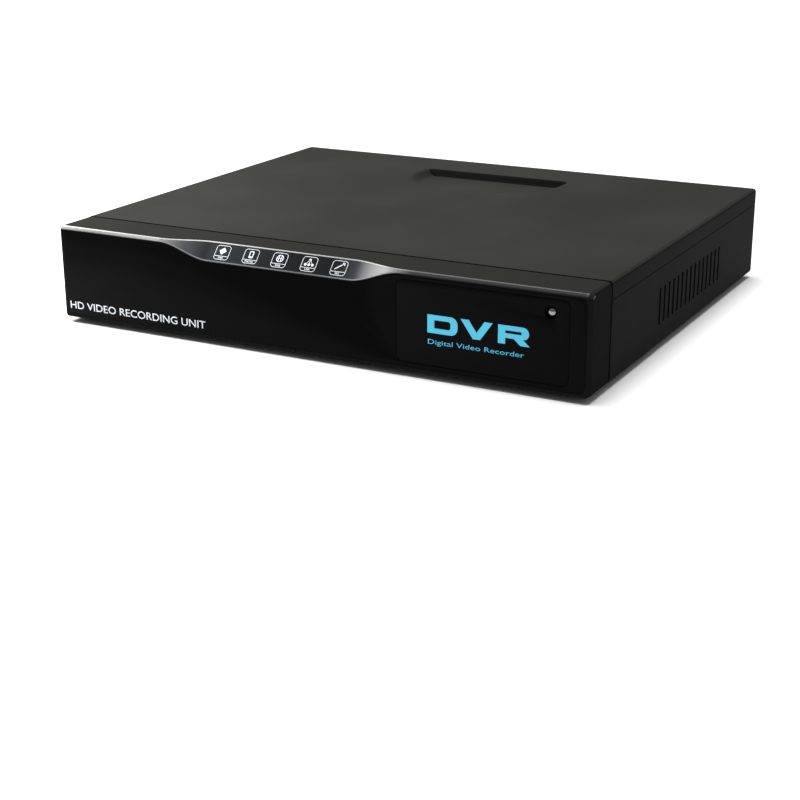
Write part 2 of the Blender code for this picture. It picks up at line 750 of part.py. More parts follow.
# ---- fasteners ----------------------------------------------------------------------------
def cross_slot(depth, reach, width):
    """A cross-head recess as a cutter, sunk from y = 0."""
    tool = shape()
    add_box(tool, (-reach, -depth, -width / 2), (reach, 5, width / 2))
    other = shape()
    add_box(other, (-width / 2, -depth, -reach), (width / 2, 5, reach))
    return fuse(tool, other)


def pan_screw(radius, height, shank_r, length, sides=16):
    """A pan-head screw whose head stands on y = 0 and whose shank runs towards -Y."""
    body = shape()
    profile = [(0, -length), (shank_r, -length), (shank_r, 0), (radius, 0), (radius, height * 0.45)]
    profile += [(radius * 0.82, height * 0.88), (radius * 0.5, height), (0, height)]
    add_lathe(body, profile, sides)
    tool = cross_slot(1.1, radius * 0.55, radius * 0.2)
    bmesh.ops.translate(tool, verts=tool.verts, vec=(0, height, 0))
    return cut(body, tool)


def screws(black, nickel, parent):
    case = finished_mesh("case_screw", pan_screw(3.1, 1.9, 1.4, 5.0), black)
    on_case = BACK + 0.12
    for sign, side in ((-1, "left"), (1, "right")):
        x, z = COVER_SCREW
        place("cover_screw_" + side, case, (sign * x, on_case, z), parent)
        x, z = SIDE_SCREW
        place("side_screw_" + side, case, (sign * x, on_case, z), parent)
    on_panel = PANEL_OUT + 0.12
    ground = finished_mesh("ground_screw", pan_screw(3.2, 2.0, 1.4, 5.0), nickel)
    place("ground_screw", ground, (GROUND[0], on_panel, GROUND[1]), parent)
    video = finished_mesh("video_block_screw", pan_screw(1.85, 0.9, 1.3, 6.0, 14), nickel)
    place("video_block_screw", video, (VIDEO_SCREW[0], on_panel, VIDEO_SCREW[1]), parent)
    audio = finished_mesh("audio_block_screw", pan_screw(2.6, 1.5, 1.3, 2.6, 14), nickel)
    place("audio_block_screw", audio, (AUDIO_SCREW[0], on_panel, AUDIO_SCREW[1]), parent)


# ---- connectors ---------------------------------------------------------------------------
JACK_SIDES = 16
BLOCK_DEPTH = 15.0


def video_shell():
    """A bayonet jack's metal shell about its own axis, with its panel plane at y = 0."""
    front = VIDEO_PROUD
    profile = [(6.4, -1.6), (6.4, 0.9), (6.0, 0.9), (4.85, 0.1), (4.85, front - 0.3)]
    profile += [(4.55, front), (4.15, front), (4.15, 0.6), (3.0, 0.6), (3.0, -1.6)]
    body = shape()
    add_lathe(body, profile, JACK_SIDES)
    lugs = shape()
    for x0, x1 in ((-5.5, -4.4), (4.4, 5.5)):
        add_prism(lugs, disc(front - 4.2, 0, 0.95, 8), "X", x0, x1)
    return fuse(body, lugs)


def jack_nose(profile_r, tip, bore_r, bore_depth, rear):
    """The round insulating part inside a jack, bored from its front."""
    return [(0, rear), (profile_r, rear), (profile_r, tip), (bore_r, tip),
            (bore_r, tip - bore_depth), (0, tip - bore_depth)]


def video_block(x, finish, parent, name):
    """The moulding behind two bayonet jacks, which also makes their insulating noses."""
    body = shape()
    rear = PANEL_IN - 2.2
    add_box(body, (x - 7.2, rear - BLOCK_DEPTH, ON_BOARD), (x + 7.2, rear, 39.5))
    noses = []
    for z in VIDEO_Z:
        nose = shape()
        add_lathe(nose, [(0, rear - 2), (2.7, rear - 2), (2.7, PANEL_OUT + 3.4), (2.2, PANEL_OUT + 7.4),
                         (0.75, PANEL_OUT + 7.4), (0.75, PANEL_OUT + 2), (0, PANEL_OUT + 2)],
                  14, (x, 0, z))
        noses.append(nose)
    pilot = shape()
    add_prism(pilot, disc(*VIDEO_SCREW, 1.5, 12), "Y", rear - 4, rear + 1)
    return build(name, cut(fuse(body, *noses), pilot), finish, parent)


def video_jacks(metal, plastic, parent):
    mesh = finished_mesh("video_shell", video_shell(), metal)
    spots = [(x, z) for x in VIDEO_X for z in VIDEO_Z]
    for number, (x, z) in enumerate(spots, 1):
        place(f"video_shell_{number}", mesh, (x, PANEL_OUT, z), parent)
    video_block(VIDEO_X[0], plastic, parent, "video_block_right")
    video_block(VIDEO_X[1], plastic, parent, "video_block_left")


def audio_out_jack(metal, plastic, parent):
    """A phono jack with the same dished flange as the video jacks."""
    front = AUDIO_OUT_PROUD
    profile = [(6.4, -1.6), (6.4, 0.9), (5.9, 0.9), (4.15, 0.1), (4.15, front - 0.3)]
    profile += [(3.9, front), (3.55, front), (3.55, -1.6)]
    body = shape()
    add_lathe(body, profile, JACK_SIDES)
    at = (AUDIO_OUT[0], PANEL_OUT, AUDIO_OUT[1])
    build("audio_out_shell", body, metal, parent, at)
    x, z = AUDIO_OUT
    block = shape()
    rear = PANEL_IN - 2.2
    add_box(block, (x - 7.0, rear - BLOCK_DEPTH, ON_BOARD), (x + 7.0, rear, 23.5))
    nose = shape()
    add_lathe(nose, jack_nose(3.2, PANEL_OUT + front - 0.4, 1.65, 7.0, rear - 2), 14, (x, 0, z))
    build("audio_out_insulator", fuse(block, nose), plastic, parent)


def audio_in_jacks(metal, black, white, red, parent):
    """Four phono jacks in one housing: two with white insulators above two with red ones."""
    housing = shape()
    front = PANEL_IN - GAP
    x0, x1 = AUDIO_X[0] - 7.0, AUDIO_X[1] + 7.0
    add_box(housing, (x0, front - BLOCK_DEPTH, ON_BOARD), (x1, front, 37.0))
    spots = [(x, z) for x in AUDIO_X for z in AUDIO_Z]
    collars, bores = shape(), shape()
    for x, z in spots:
        add_prism(collars, disc(x, z, 4.95, JACK_SIDES), "Y", front - 1, PANEL_OUT - 0.2)
        add_prism(bores, disc(x, z, 4.45, JACK_SIDES), "Y", front - 6, PANEL_OUT + 1)
    add_prism(bores, disc(*AUDIO_SCREW, 1.5, 12), "Y", front - 3, PANEL_OUT + 1)
    housing = cut(fuse(housing, collars), bores)
    build("audio_in_housing", housing, black, parent)
    tip = AUDIO_PROUD
    profile = [(4.15, -6.0), (4.15, tip - 0.3), (3.9, tip), (3.5, tip), (3.5, -6.0)]
    shell = shape()
    add_lathe(shell, profile, JACK_SIDES)
    shell = finished_mesh("audio_in_shell", shell, metal)
    nose = shape()
    add_lathe(nose, jack_nose(3.2, tip - 0.4, 1.6, 7.0, -6.0), 14)
    upper = finished_mesh("audio_insulator_white", nose, white)
    lower = upper.copy()
    lower.materials[0] = red
    for number, (x, z) in enumerate(spots, 1):
        place(f"audio_in_shell_{number}", shell, (x, PANEL_OUT, z), parent)
        mesh = upper if z == AUDIO_Z[0] else lower
        place(f"audio_in_insulator_{number}", mesh, (x, PANEL_OUT, z), parent)


def vga_connector(metal, blue, parent):
    """A three-row D connector: its shell, its insert on a riser from the board and two posts."""
    tube = shape()
    tip = PANEL_OUT + 5.0
    add_prism(tube, d_outline(VGA, VGA_SIZE), "Y", PANEL_IN - 2.0, tip)
    plate = shape()
    add_prism(plate, centred(VGA, (30.8, 12.4)), "Y", PANEL_IN - 1.6, PANEL_IN - GAP)
    tube = fuse(tube, plate)
    bore = shape()
    add_prism(bore, d_outline(VGA, VGA_SIZE, -0.4, 1.4), "Y", PANEL_IN - 5, tip + 1)
    for sign in (-1, 1):
        post = (VGA[0] + sign * VGA_POST_PITCH / 2, VGA[1])
        add_prism(bore, disc(*post, 1.9, 10), "Y", PANEL_IN - 5, PANEL_OUT)
    build("vga_shell", cut(tube, bore), metal, parent)
    insert = shape()
    add_prism(insert, d_outline(VGA, VGA_SIZE, -0.7, 1.2), "Y", PANEL_IN - 8, tip - 0.6)
    riser = shape()
    x, z = VGA
    add_box(riser, (x - 9, PANEL_IN - 22, ON_BOARD), (x + 9, PANEL_IN - 14.5, z + 5.5))
    add_box(riser, (x - 9, PANEL_IN - 15, z - 5), (x + 9, PANEL_IN - 2.6, z + 5.5))
    insert = fuse(insert, riser)
    pins = shape()
    for row in range(3):
        for column in range(5):
            px = x + (column - 2) * 2.29 + (0.57 if row == 1 else -0.57)
            pz = z + (row - 1) * 1.98
            add_prism(pins, disc(px, pz, 0.45, 6), "Y", tip - 4, tip + 1)
    build("vga_insert", cut(insert, pins), blue, parent)
    post = shape()
    add_lathe(post, [(0, -3.0), (1.5, -3.0), (1.5, 0.15), (2.7, 0.15), (2.7, 2.2), (2.3, 2.6),
                     (2.3, 4.6), (1.2, 4.6), (1.2, 1.4), (0, 1.4)], 12)
    post = finished_mesh("vga_post", post, metal)
    for sign, side in ((-1, "right"), (1, "left")):
        at = (x + sign * VGA_POST_PITCH / 2, PANEL_OUT, z)
        place("vga_post_" + side, post, at, parent)


def hdmi_connector(metal, black, parent):
    tube = shape()
    tip = PANEL_OUT + 0.7
    add_prism(tube, hdmi_outline(), "Y", PANEL_IN - 10, tip)
    bore = shape()
    add_prism(bore, hdmi_outline(-0.35), "Y", PANEL_IN - 9, tip + 1)
    build("hdmi_shell", cut(tube, bore), metal, parent)
    insert = shape()
    add_prism(insert, hdmi_outline(-0.55), "Y", PANEL_IN - 8.8, PANEL_IN - 5)
    tongue = shape()
    x, z = HDMI
    add_box(tongue, (x - 5.2, PANEL_IN - 6, z - 0.2), (x + 5.2, PANEL_OUT - 0.4, z + 1.1))
    build("hdmi_insert", fuse(insert, tongue), black, parent)


USB_Z = (22.3, 13.6)
USB_SIZE = (12.8, 5.4)
LAN_Z = (28.2, 34.4, 36.3, 37.8)  # opening: floor, first step, second step, top
LAN_HALF = (6.2, 4.1, 2.9)
LED_X = 5.7
LED_Z = 37.5


def lan_outline(grow=0.0):
    """The network socket's opening, stepped for the plug's latch."""
    z0, z1, z2, z3 = LAN_Z
    a, b, c = LAN_HALF
    g = grow
    right = [(a + g, z0 - g), (a + g, z1 + g), (b + g, z1 + g), (b + g, z2 + g), (c + g, z2 + g),
             (c + g, z3 + g)]
    points = right + [(-x, z) for x, z in right[::-1]]
    return [(LAN_X + x, z) for x, z in points]


def lan_usb_connector(metal, black, parent):
    """A network socket stacked on two USB sockets in one shield."""
    w, h = LAN_SIZE
    centre = (LAN_X, ON_BOARD + h / 2)
    tip = PANEL_OUT + 0.8
    shield = shape()
    add_prism(shield, centred(centre, LAN_SIZE), "Y", PANEL_IN - 20, tip)
    hollow = shape()
    add_prism(hollow, centred(centre, LAN_SIZE, -0.35), "Y", PANEL_IN - 21, tip - 0.35)
    add_prism(hollow, lan_outline(), "Y", tip - 2, tip + 1)
    for z in USB_Z:
        add_prism(hollow, centred((LAN_X, z), USB_SIZE), "Y", tip - 2, tip + 1)
    for sign in (-1, 1):
        light = (LAN_X + sign * LED_X, LED_Z)
        add_prism(hollow, centred(light, (3.4, 2.0)), "Y", tip - 2, tip + 1)
    build("lan_usb_shield", cut(shield, hollow), metal, parent)
    insert = shape()
    front = tip - 0.6
    add_prism(insert, centred(centre, LAN_SIZE, -0.65), "Y", PANEL_IN - 19.5, front)
    holes = shape()
    add_prism(holes, lan_outline(-0.3), "Y", front - 14, front + 1)
    for z in USB_Z:
        add_prism(holes, centred((LAN_X, z), USB_SIZE, -0.3), "Y", front - 12, front + 1)
    insert = cut(insert, holes)
    tongues = shape()
    for z in USB_Z:
        add_box(tongues, (LAN_X - 5.4, front - 12.5, z - 0.1), (LAN_X + 5.4, front - 0.8, z + 1.7))
    build("lan_usb_insert", fuse(insert, tongues), black, parent)


def power_jack(black, metal, parent):
    body = shape()
    tip = PANEL_OUT + 0.2
    x = DC_JACK[0]
    add_prism(body, centred(DC_JACK, DC_SIZE), "Y", PANEL_IN - 13, tip)
    bore = shape()
    add_prism(bore, disc(x, DC_BORE_Z, 2.9, 16), "Y", tip - 10, tip + 1)
    build("power_jack", cut(body, bore), black, parent)
    pin = shape()
    add_lathe(pin, [(0, -9.6), (1.0, -9.6), (1.0, -1.6), (0.6, -1.1), (0, -1.0)], 10)
    build("power_pin", pin, metal, parent, (x, tip, DC_BORE_Z))


HEADER_TIP = PANEL_OUT + 0.2
NOSE_LENGTH = 8.4
PLUG_BACK = HEADER_TIP + 0.3
CLAMP_Y = 5.6  # from the plug's rear face to its clamp screws
PLUG_ORIGIN = (TERMINAL_X, PLUG_BACK, ON_BOARD + HEADER_SIZE[1] / 2)


def terminal_header(green, parent):
    """The socket that is soldered to the board, with its two contact pins."""
    w, h = HEADER_SIZE
    x, z0 = TERMINAL_X, ON_BOARD
    body = shape()
    add_box(body, (x - w / 2, PANEL_IN - 8, z0), (x + w / 2, HEADER_TIP, z0 + h))
    bore = shape()
    add_box(bore, (x - w / 2 + 0.8, HEADER_TIP - 9, z0 + 0.8),
            (x + w / 2 - 0.8, HEADER_TIP + 1, z0 + h - 0.8))
    body = cut(body, bore)
    pins = shape()
    for sign in (-1, 1):
        px, pz = x + sign * TERMINAL_PITCH / 2, z0 + h / 2
        add_box(pins, (px - 0.4, HEADER_TIP - 9.5, pz - 0.4), (px + 0.4, HEADER_TIP - 1.5, pz + 0.4))
    build("terminal_header", fuse(body, pins), green, parent)


def plug_outline():
    """Side view of the plug outside the case, in y and z: square behind, sloping to the front."""
    y0, y1 = PLUG_BACK, BACK + PLUG_PROUD
    z0, z1 = PLUG_Z, PLUG_Z + PLUG_SIZE[1]
    return [(y0, z0 + 0.6), (y0 + 1.0, z0), (y1, z0), (y1, z0 + 6.4), (y1 - 1.5, z1), (y0, z1)]


def terminal_plug(green, parent):
    x = TERMINAL_X
    body = shape()
    add_prism(body, plug_outline(), "X", x - PLUG_SIZE[0] / 2, x + PLUG_SIZE[0] / 2)
    nose = shape()
    z0 = ON_BOARD
    w, h = HEADER_SIZE[0] / 2 - 1.1, HEADER_SIZE[1]
    add_box(nose, (x - w, HEADER_TIP - NOSE_LENGTH, z0 + 1.1), (x + w, PLUG_BACK + 1, z0 + h - 1.1))
    body = fuse(body, nose)
    holes = shape()
    tip = BACK + PLUG_PROUD
    for sign in (-1, 1):
        px = x + sign * TERMINAL_PITCH / 2
        add_box(holes, (px - 1.4, tip - 5.5, PLUG_Z + 1.4), (px + 1.4, tip + 1, PLUG_Z + 5.6))
        top = PLUG_Z + PLUG_SIZE[1]
        add_prism(holes, disc(px, PLUG_BACK + CLAMP_Y, 1.55, 14), "Z", PLUG_Z + 6.6, top + 1)
        pz = z0 + h / 2
        add_box(holes, (px - 0.7, HEADER_TIP - 12, pz - 0.7), (px + 0.7, HEADER_TIP - 0.3, pz + 0.7))
    body = cut(body, holes)
    bmesh.ops.translate(body, verts=body.verts, vec=-Vector(PLUG_ORIGIN))
    build("terminal_plug", body, green, parent, PLUG_ORIGIN)


def clamp_screws(metal, parent):
    """Two slotted screws that clamp the wires, each with its origin on its own axis."""
    body = shape()
    profile = [(0, -3.2), (1.1, -3.2), (1.1, -1.2), (1.35, -1.2), (1.35, 0), (0, 0)]
    add_lathe(body, profile, 12, axis="Z")
    slot = shape()
    add_box(slot, (-2, -0.22, -0.6), (2, 0.22, 1))
    mesh = finished_mesh("clamp_screw", cut(body, slot), metal)
    z = PLUG_Z + PLUG_SIZE[1] - 0.6
    for number, sign in ((1, 1), (2, -1)):
        at = (TERMINAL_X + sign * TERMINAL_PITCH / 2, PLUG_BACK + CLAMP_Y, z)
        axis = empty(f"clamp_axis_{number}", at)
        place(f"clamp_screw_{number}", mesh, at, axis)
        axis.parent = parent
        axis.location = Vector(at) * MM - parent.location


# ---- boards, heatsink and cables ----------------------------------------------------------
MAIN_BOARD = (-121.0, 22.0, 90.0, PANEL_IN - GAP)  # x, y to x, y
PROCESSOR = (8.0, 52.0, 11.5)  # x, y and half its width
CELL = (66.0, 62.0)


def main_board(green, parent):
    """The circuit board with what is soldered to it: processor, memory, coils and sockets."""
    x0, y0, x1, y1 = MAIN_BOARD
    body = shape()
    add_box(body, (x0, y0, BOARD_Z - BOARD_T), (x1, y1, BOARD_Z))
    px, py, half = PROCESSOR
    on = BOARD_Z - 0.3
    blocks = [((px - half, py - half), (px + half, py + half), 1.9)]
    blocks += [((px + 17, py - 12 + 15 * i), (px + 29, py - 2 + 15 * i), 1.2) for i in (0, 1)]
    blocks += [((px - 36 - 22 * i, py - 8), (px - 24 - 22 * i, py + 4), 4.0) for i in (0, 1)]
    blocks += [((61, 24), (75, 30), 8.0), ((44, 34), (60, 40), 6.0), ((-108, 60), (-94, 74), 5.0)]
    parts = []
    for low, high, height in blocks:
        part = shape()
        add_box(part, (*low, on), (*high, BOARD_Z + height))
        parts.append(part)
    for x, y, r, height in ((-104, 46, 5, 11), (-90, 46, 5, 11), (-78, 46, 4, 9), (-30, 70, 3, 7)):
        part = shape()
        top = BOARD_Z + height
        add_lathe(part, [(0, on), (r, on), (r, top), (0, top)], 12, (x, y, 0), "Z")
        parts.append(part)
    holder = shape()
    cx, cy = CELL
    add_lathe(holder, [(0, on), (11.5, on), (11.5, BOARD_Z + 3.6), (10.4, BOARD_Z + 3.6),
                       (10.4, BOARD_Z + 1.0), (0, BOARD_Z + 1.0)], 16, (cx, cy, 0), "Z")
    build("main_board", fuse(body, *parts, holder), green, parent)


def coin_cell(metal, parent):
    body = shape()
    low = BOARD_Z + 1.3
    add_lathe(body, [(0, low), (9.3, low), (10.0, low + 0.6), (10.0, low + 3.2), (0, low + 3.2)],
              16, (*CELL, 0), "Z")
    build("coin_cell", body, metal, parent)


def heatsink(finish, parent):
    """A finned aluminium block on the processor."""
    px, py, half = PROCESSOR
    half += 2.5
    base, tips, fins = BOARD_Z + 1.9 + GAP, BOARD_Z + 14.0, 8
    pitch = 2 * half / (fins - 0.5)
    outline = [(px + half, base), (px - half, base)]
    for i in range(fins):
        x = px - half + i * pitch
        outline += [(x, tips), (x + pitch * 0.5, tips)]
        if i < fins - 1:
            outline += [(x + pitch * 0.5, base + 2.5), (x + pitch, base + 2.5)]
    body = shape()
    add_prism(body, outline, "Y", py - half, py + half)
    build("heatsink", body, finish, parent)


BOARD_Y = FRONT + 9.5  # front board's forward face


def front_board(finish, parent):
    """The narrow board behind the fascia: five lamps, the receiver and the cable socket."""
    body = shape()
    add_box(body, (-58, BOARD_Y, 14), (118, BOARD_Y + BOARD_T, 37.5))
    parts = []
    for x in INDICATOR_X:
        lamp = shape()
        add_lathe(lamp, [(0, -5.2), (1.0, -4.6), (1.2, -3.8), (1.2, 0.6), (0, 0.6)], 8,
                  (x, BOARD_Y, 35.0))
        parts.append(lamp)
    receiver = shape()
    add_box(receiver, (LENS[0] - 3, FRONT + 5.8, LENS[1] - 3.5),
            (LENS[0] + 3, BOARD_Y + 0.5, LENS[1] + 1))
    socket = shape()
    add_box(socket, (CABLE_X - 7.5, BOARD_Y + 1, 21), (CABLE_X + 7.5, BOARD_Y + 6, 27))
    build("front_board", fuse(body, *parts, receiver, socket), finish, parent)


def cables(grey, red, parent):
    """Two flat cables: from the front board and from the disk to the main board."""
    ribbon = shape()
    start = (CABLE_X, BOARD_Y + 6 + GAP, 24)
    end = (CABLE_X, 37 - 3 - GAP, BOARD_Z + 4)
    route = [start, (CABLE_X, SEAM + 8, 24.5), (CABLE_X, -40, 31), (CABLE_X, -5, 29),
             (CABLE_X, 15, 17), end]
    add_ribbon(ribbon, route, (1, 0, 0), 12.0, 1.2, 4)
    build("front_cable", ribbon, grey, parent)
    drive = shape()
    x_end = DISK_CORNER[0] + DISK_SIZE[0]
    route = [(x_end + GAP, -2, 14), (x_end + 6, -1.5, 14.3), (x_end + 16, 1.5, 15),
             (62, 7, 15), (67.5, 15, 14), (68, 24 - GAP, 13.2)]
    add_ribbon(drive, route, (0, 0, 1), 7.0, 1.6, 4)
    build("drive_cable", drive, red, parent)


# ---- hard disk ----------------------------------------------------------------------------
CAVITY_LOW = DISK_CORNER[2] + 9.0
DISK_RIM = DISK_CORNER[2] + DISK_SIZE[2] - 2.6
PLATTER_Z = CAVITY_LOW + 5.0
PLATTER_T = 1.27
ARM_CLEAR = 0.7  # between the platter and each arm
ARM_REACH = 50.5


def disk_base(finish, parent):
    """The drive's cast tray, hollowed for its platter and its arm."""
    x0, y0, z0 = DISK_CORNER
    body = shape()
    add_box(body, (x0, y0, z0), (x0 + DISK_SIZE[0], y0 + DISK_SIZE[1], DISK_RIM))
    well = shape()
    add_prism(well, disc(*SPINDLE, PLATTER_R + 1.4, 40), "Z", CAVITY_LOW, DISK_RIM + 1)
    room = shape()
    far_corner = (x0 + DISK_SIZE[0] - 7, y0 + DISK_SIZE[1] - 8, DISK_RIM + 1)
    add_box(room, (SPINDLE[0] + 18, y0 + 5, CAVITY_LOW), far_corner)
    return build("disk_base", cut(body, fuse(well, room)), finish, parent)


def disk_cover(finish, parent):
    """The drive's lid, with the small hole through which it breathes."""
    x0, y0, _ = DISK_CORNER
    low, high = DISK_RIM + GAP, DISK_CORNER[2] + DISK_SIZE[2]
    body = shape()
    outline = rounded(x0 + 1, y0 + 1, x0 + DISK_SIZE[0] - 1, y0 + DISK_SIZE[1] - 1, 4.0)
    add_prism(body, outline, "Z", low, high)
    hole = shape()
    add_prism(hole, disc(x0 + 130, y0 + 90, 1.0, 10), "Z", low - 1, high + 1)
    return build("disk_cover", cut(body, hole), finish, parent)


def disk_platter(finish, parent):
    """One platter clamped on its spindle hub."""
    body = shape()
    low = CAVITY_LOW + GAP - PLATTER_Z
    profile = [(0, low), (11, low), (11, 0), (PLATTER_R, 0), (PLATTER_R, PLATTER_T),
               (14, PLATTER_T),
               (13, 3.2), (0, 3.2)]
    add_lathe(body, profile, 36, axis="Z")
    at = (*SPINDLE, PLATTER_Z)
    axis = empty("spindle_axis", at, parent)
    build("disk_platter", body, finish, axis, at)


def disk_arm(finish, parent):
    """The actuator: a pivot sleeve, two arms that straddle the platter and the coil behind."""
    body = shape()
    low, high = CAVITY_LOW + GAP - PLATTER_Z, 6.0
    add_lathe(body, [(0, low), (6.5, low), (6.5, high), (0, high)], 16, axis="Z")
    turn = Matrix.Rotation(radians(PARKED_DEG), 3, "Z")
    parts = []
    above = PLATTER_T + ARM_CLEAR
    for z0, z1 in ((above, above + 1.0), (-ARM_CLEAR - 1.0, -ARM_CLEAR)):
        blade = shape()
        outline = [(0, -5.5), (14, -5.0), (ARM_REACH - 4, -1.2), (ARM_REACH, -1.2),
                   (ARM_REACH, 1.2), (ARM_REACH - 4, 1.2), (14, 5.0), (0, 5.5)]
        add_prism(blade, outline, "Z", z0, z1)
        bmesh.ops.rotate(blade, verts=blade.verts, matrix=turn)
        parts.append(blade)
    coil = shape()
    add_prism(coil, [(-2, -5), (-2, 5), (-19, 10), (-22, 6), (-22, -6), (-19, -10)], "Z", -1.0, 2.0)
    bmesh.ops.rotate(coil, verts=coil.verts, matrix=turn)
    at = (*PIVOT, PLATTER_Z)
    axis = empty("arm_axis", at, parent)
    build("disk_arm", fuse(body, *parts, coil), finish, axis, at)


# ---- assembly -----------------------------------------------------------------------------
def main():
    for obj in list(bpy.data.objects):
        bpy.data.objects.remove(obj)
    black_steel = material("black_steel", 0.035, 0.035, 0.034, 0.55, 0.3)
    grey_steel = material("grey_steel", 0.40, 0.41, 0.44, 0.5, 0.3)
    black_abs = material("black_abs", 0.03, 0.03, 0.03, 0.45)
    gloss_black = material("gloss_black", 0.006, 0.006, 0.006, 0.12)
    smoke_grey = material("smoke_grey", 0.07, 0.07, 0.08, 0.3, 0.4)
    clear = material("clear_lens", 0.05, 0.05, 0.055, 0.08)
    rubber = material("rubber", 0.02, 0.02, 0.02, 0.85)
    nickel = material("nickel", 0.62, 0.58, 0.53, 0.25, 1.0)
    black_zinc = material("black_zinc", 0.02, 0.02, 0.02, 0.3, 0.6)
    ivory = material("ivory_plastic", 0.75, 0.72, 0.62, 0.45)
    white = material("white_plastic", 0.8, 0.8, 0.78, 0.4)
    red = material("red_plastic", 0.6, 0.03, 0.02, 0.35)
    blue = material("blue_plastic", 0.03, 0.12, 0.45, 0.4)
    black_plastic = material("black_plastic", 0.01, 0.01, 0.01, 0.4)
    green_plastic = material("green_plastic", 0.1, 0.42, 0.08, 0.4)
    board = material("circuit_board", 0.02, 0.15, 0.06, 0.45)
    aluminium = material("aluminium", 0.6, 0.6, 0.6, 0.4, 1.0)
    grey_plastic = material("grey_plastic", 0.4, 0.4, 0.4, 0.5)

    recorder = empty("recorder")
    front_bezel(black_abs, recorder)
    front_fascia(gloss_black, recorder)
    indicator_strip(smoke_grey, recorder)
    receiver_lens(clear, recorder)
    top_cover(black_steel, recorder)
    chassis(black_steel, recorder)
    rear_panel(grey_steel, recorder)
    feet(rubber, recorder)
    screws(black_zinc, nickel, recorder)
    video_jacks(nickel, ivory, recorder)
    audio_out_jack(nickel, ivory, recorder)
    audio_in_jacks(nickel, black_plastic, white, red, recorder)
    vga_connector(nickel, blue, recorder)
    hdmi_connector(nickel, black_plastic, recorder)
    lan_usb_connector(nickel, black_plastic, recorder)
    power_jack(black_plastic, nickel, recorder)
    terminal_header(green_plastic, recorder)
    plug_slide = empty("plug_slide", PLUG_ORIGIN, recorder)
    terminal_plug(green_plastic, plug_slide)
    clamp_screws(nickel, plug_slide)
    main_board(board, recorder)
    coin_cell(nickel, recorder)
    heatsink(aluminium, recorder)
    front_board(board, recorder)
    cables(grey_plastic, red, recorder)
    disk_base(aluminium, recorder)
    disk_cover(aluminium, recorder)
    disk_platter(nickel, recorder)
    disk_arm(aluminium, recorder)


main()
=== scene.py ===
"""Looks of a compact surveillance video recorder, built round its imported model.

Everything is in metres in the model's own frame: the front faces -Y, +X is the viewer's right
and +Z is up. The sections follow the recorder as it is put together.
"""

import math
import random

import bmesh
import bpy
from mathutils import Matrix, Vector


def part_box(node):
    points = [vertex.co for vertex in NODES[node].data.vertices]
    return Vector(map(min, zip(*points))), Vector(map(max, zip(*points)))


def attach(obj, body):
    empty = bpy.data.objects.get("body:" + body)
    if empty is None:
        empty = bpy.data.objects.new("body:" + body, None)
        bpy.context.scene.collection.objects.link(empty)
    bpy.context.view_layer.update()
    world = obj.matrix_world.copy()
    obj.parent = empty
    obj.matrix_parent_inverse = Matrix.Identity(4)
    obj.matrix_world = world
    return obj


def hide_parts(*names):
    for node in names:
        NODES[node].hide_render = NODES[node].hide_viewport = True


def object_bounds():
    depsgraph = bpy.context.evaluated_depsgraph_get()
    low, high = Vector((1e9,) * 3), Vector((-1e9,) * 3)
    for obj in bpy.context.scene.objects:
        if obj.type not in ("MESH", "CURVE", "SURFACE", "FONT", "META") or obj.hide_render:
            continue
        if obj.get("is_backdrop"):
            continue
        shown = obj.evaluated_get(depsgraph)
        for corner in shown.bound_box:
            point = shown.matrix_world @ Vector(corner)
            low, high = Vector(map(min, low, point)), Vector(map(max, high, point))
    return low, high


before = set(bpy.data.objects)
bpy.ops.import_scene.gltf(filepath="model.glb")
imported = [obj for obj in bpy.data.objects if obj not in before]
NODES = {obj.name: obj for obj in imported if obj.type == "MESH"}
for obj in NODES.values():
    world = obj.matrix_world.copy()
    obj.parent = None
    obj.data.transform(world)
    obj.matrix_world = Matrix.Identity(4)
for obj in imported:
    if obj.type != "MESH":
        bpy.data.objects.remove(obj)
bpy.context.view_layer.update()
bpy.ops.object.select_all(action="DESELECT")
MM = 0.001

# ---- Studio ------------------------------------------------------------------------------
# A pale seamless floor in a white surround, a wide soft light straight above and a smaller one
# low on the left. The camera looks down at the recorder's right front corner.
LENS_MM = 71.96
CAMERA_AT = (0.33640, -0.66116, 0.20599)
CAMERA_AIM = (-0.01266, -0.00550, -0.05369)
CAMERA_ROLL = math.radians(-0.253)


def rgb(code, alpha=1.0):
    """A linear colour from an sRGB hex value such as "#a0b1c2"."""
    values = [int(code[i : i + 2], 16) / 255 for i in (1, 3, 5)]
    linear = [v / 12.92 if v <= 0.04045 else ((v + 0.055) / 1.055) ** 2.4 for v in values]
    return (*linear, alpha)


def node(tree, kind, inputs=None, **settings):
    """Adds one shader node. An input is a value, or another node's output to link from."""
    made = tree.nodes.new("ShaderNode" + kind)
    for name, value in settings.items():
        setattr(made, name, value)
    for name, value in (inputs or {}).items():
        if isinstance(value, bpy.types.NodeSocket):
            tree.links.new(value, made.inputs[name])
        else:
            made.inputs[name].default_value = value
    return made


def material(name, **fixed):
    """A new Principled material. A fixed value is set on the shader's own socket."""
    made = bpy.data.materials.new(name)
    made.use_nodes = True
    shader = made.node_tree.nodes["Principled BSDF"]
    for socket, value in fixed.items():
        shader.inputs[socket.replace("_", " ")].default_value = value
    place = node(made.node_tree, "TexCoord").outputs["Object"]
    return made, made.node_tree, shader, place


bpy.ops.object.camera_add(location=CAMERA_AT)
camera = bpy.context.object
aim = (Vector(CAMERA_AIM) - Vector(CAMERA_AT)).to_track_quat("-Z", "Y")
camera.rotation_euler = (aim.to_matrix() @ Matrix.Rotation(CAMERA_ROLL, 3, "Z")).to_euler()
camera.data.sensor_width = 36
camera.data.lens = LENS_MM
bpy.context.scene.camera = camera
camera.select_set(False)

bpy.ops.object.light_add(type="SUN", rotation=(0, math.radians(-4), 0))
overhead = bpy.context.object
overhead.name = "overhead_light"
overhead.data.energy = 3.5
overhead.data.angle = math.radians(34)
overhead.select_set(False)

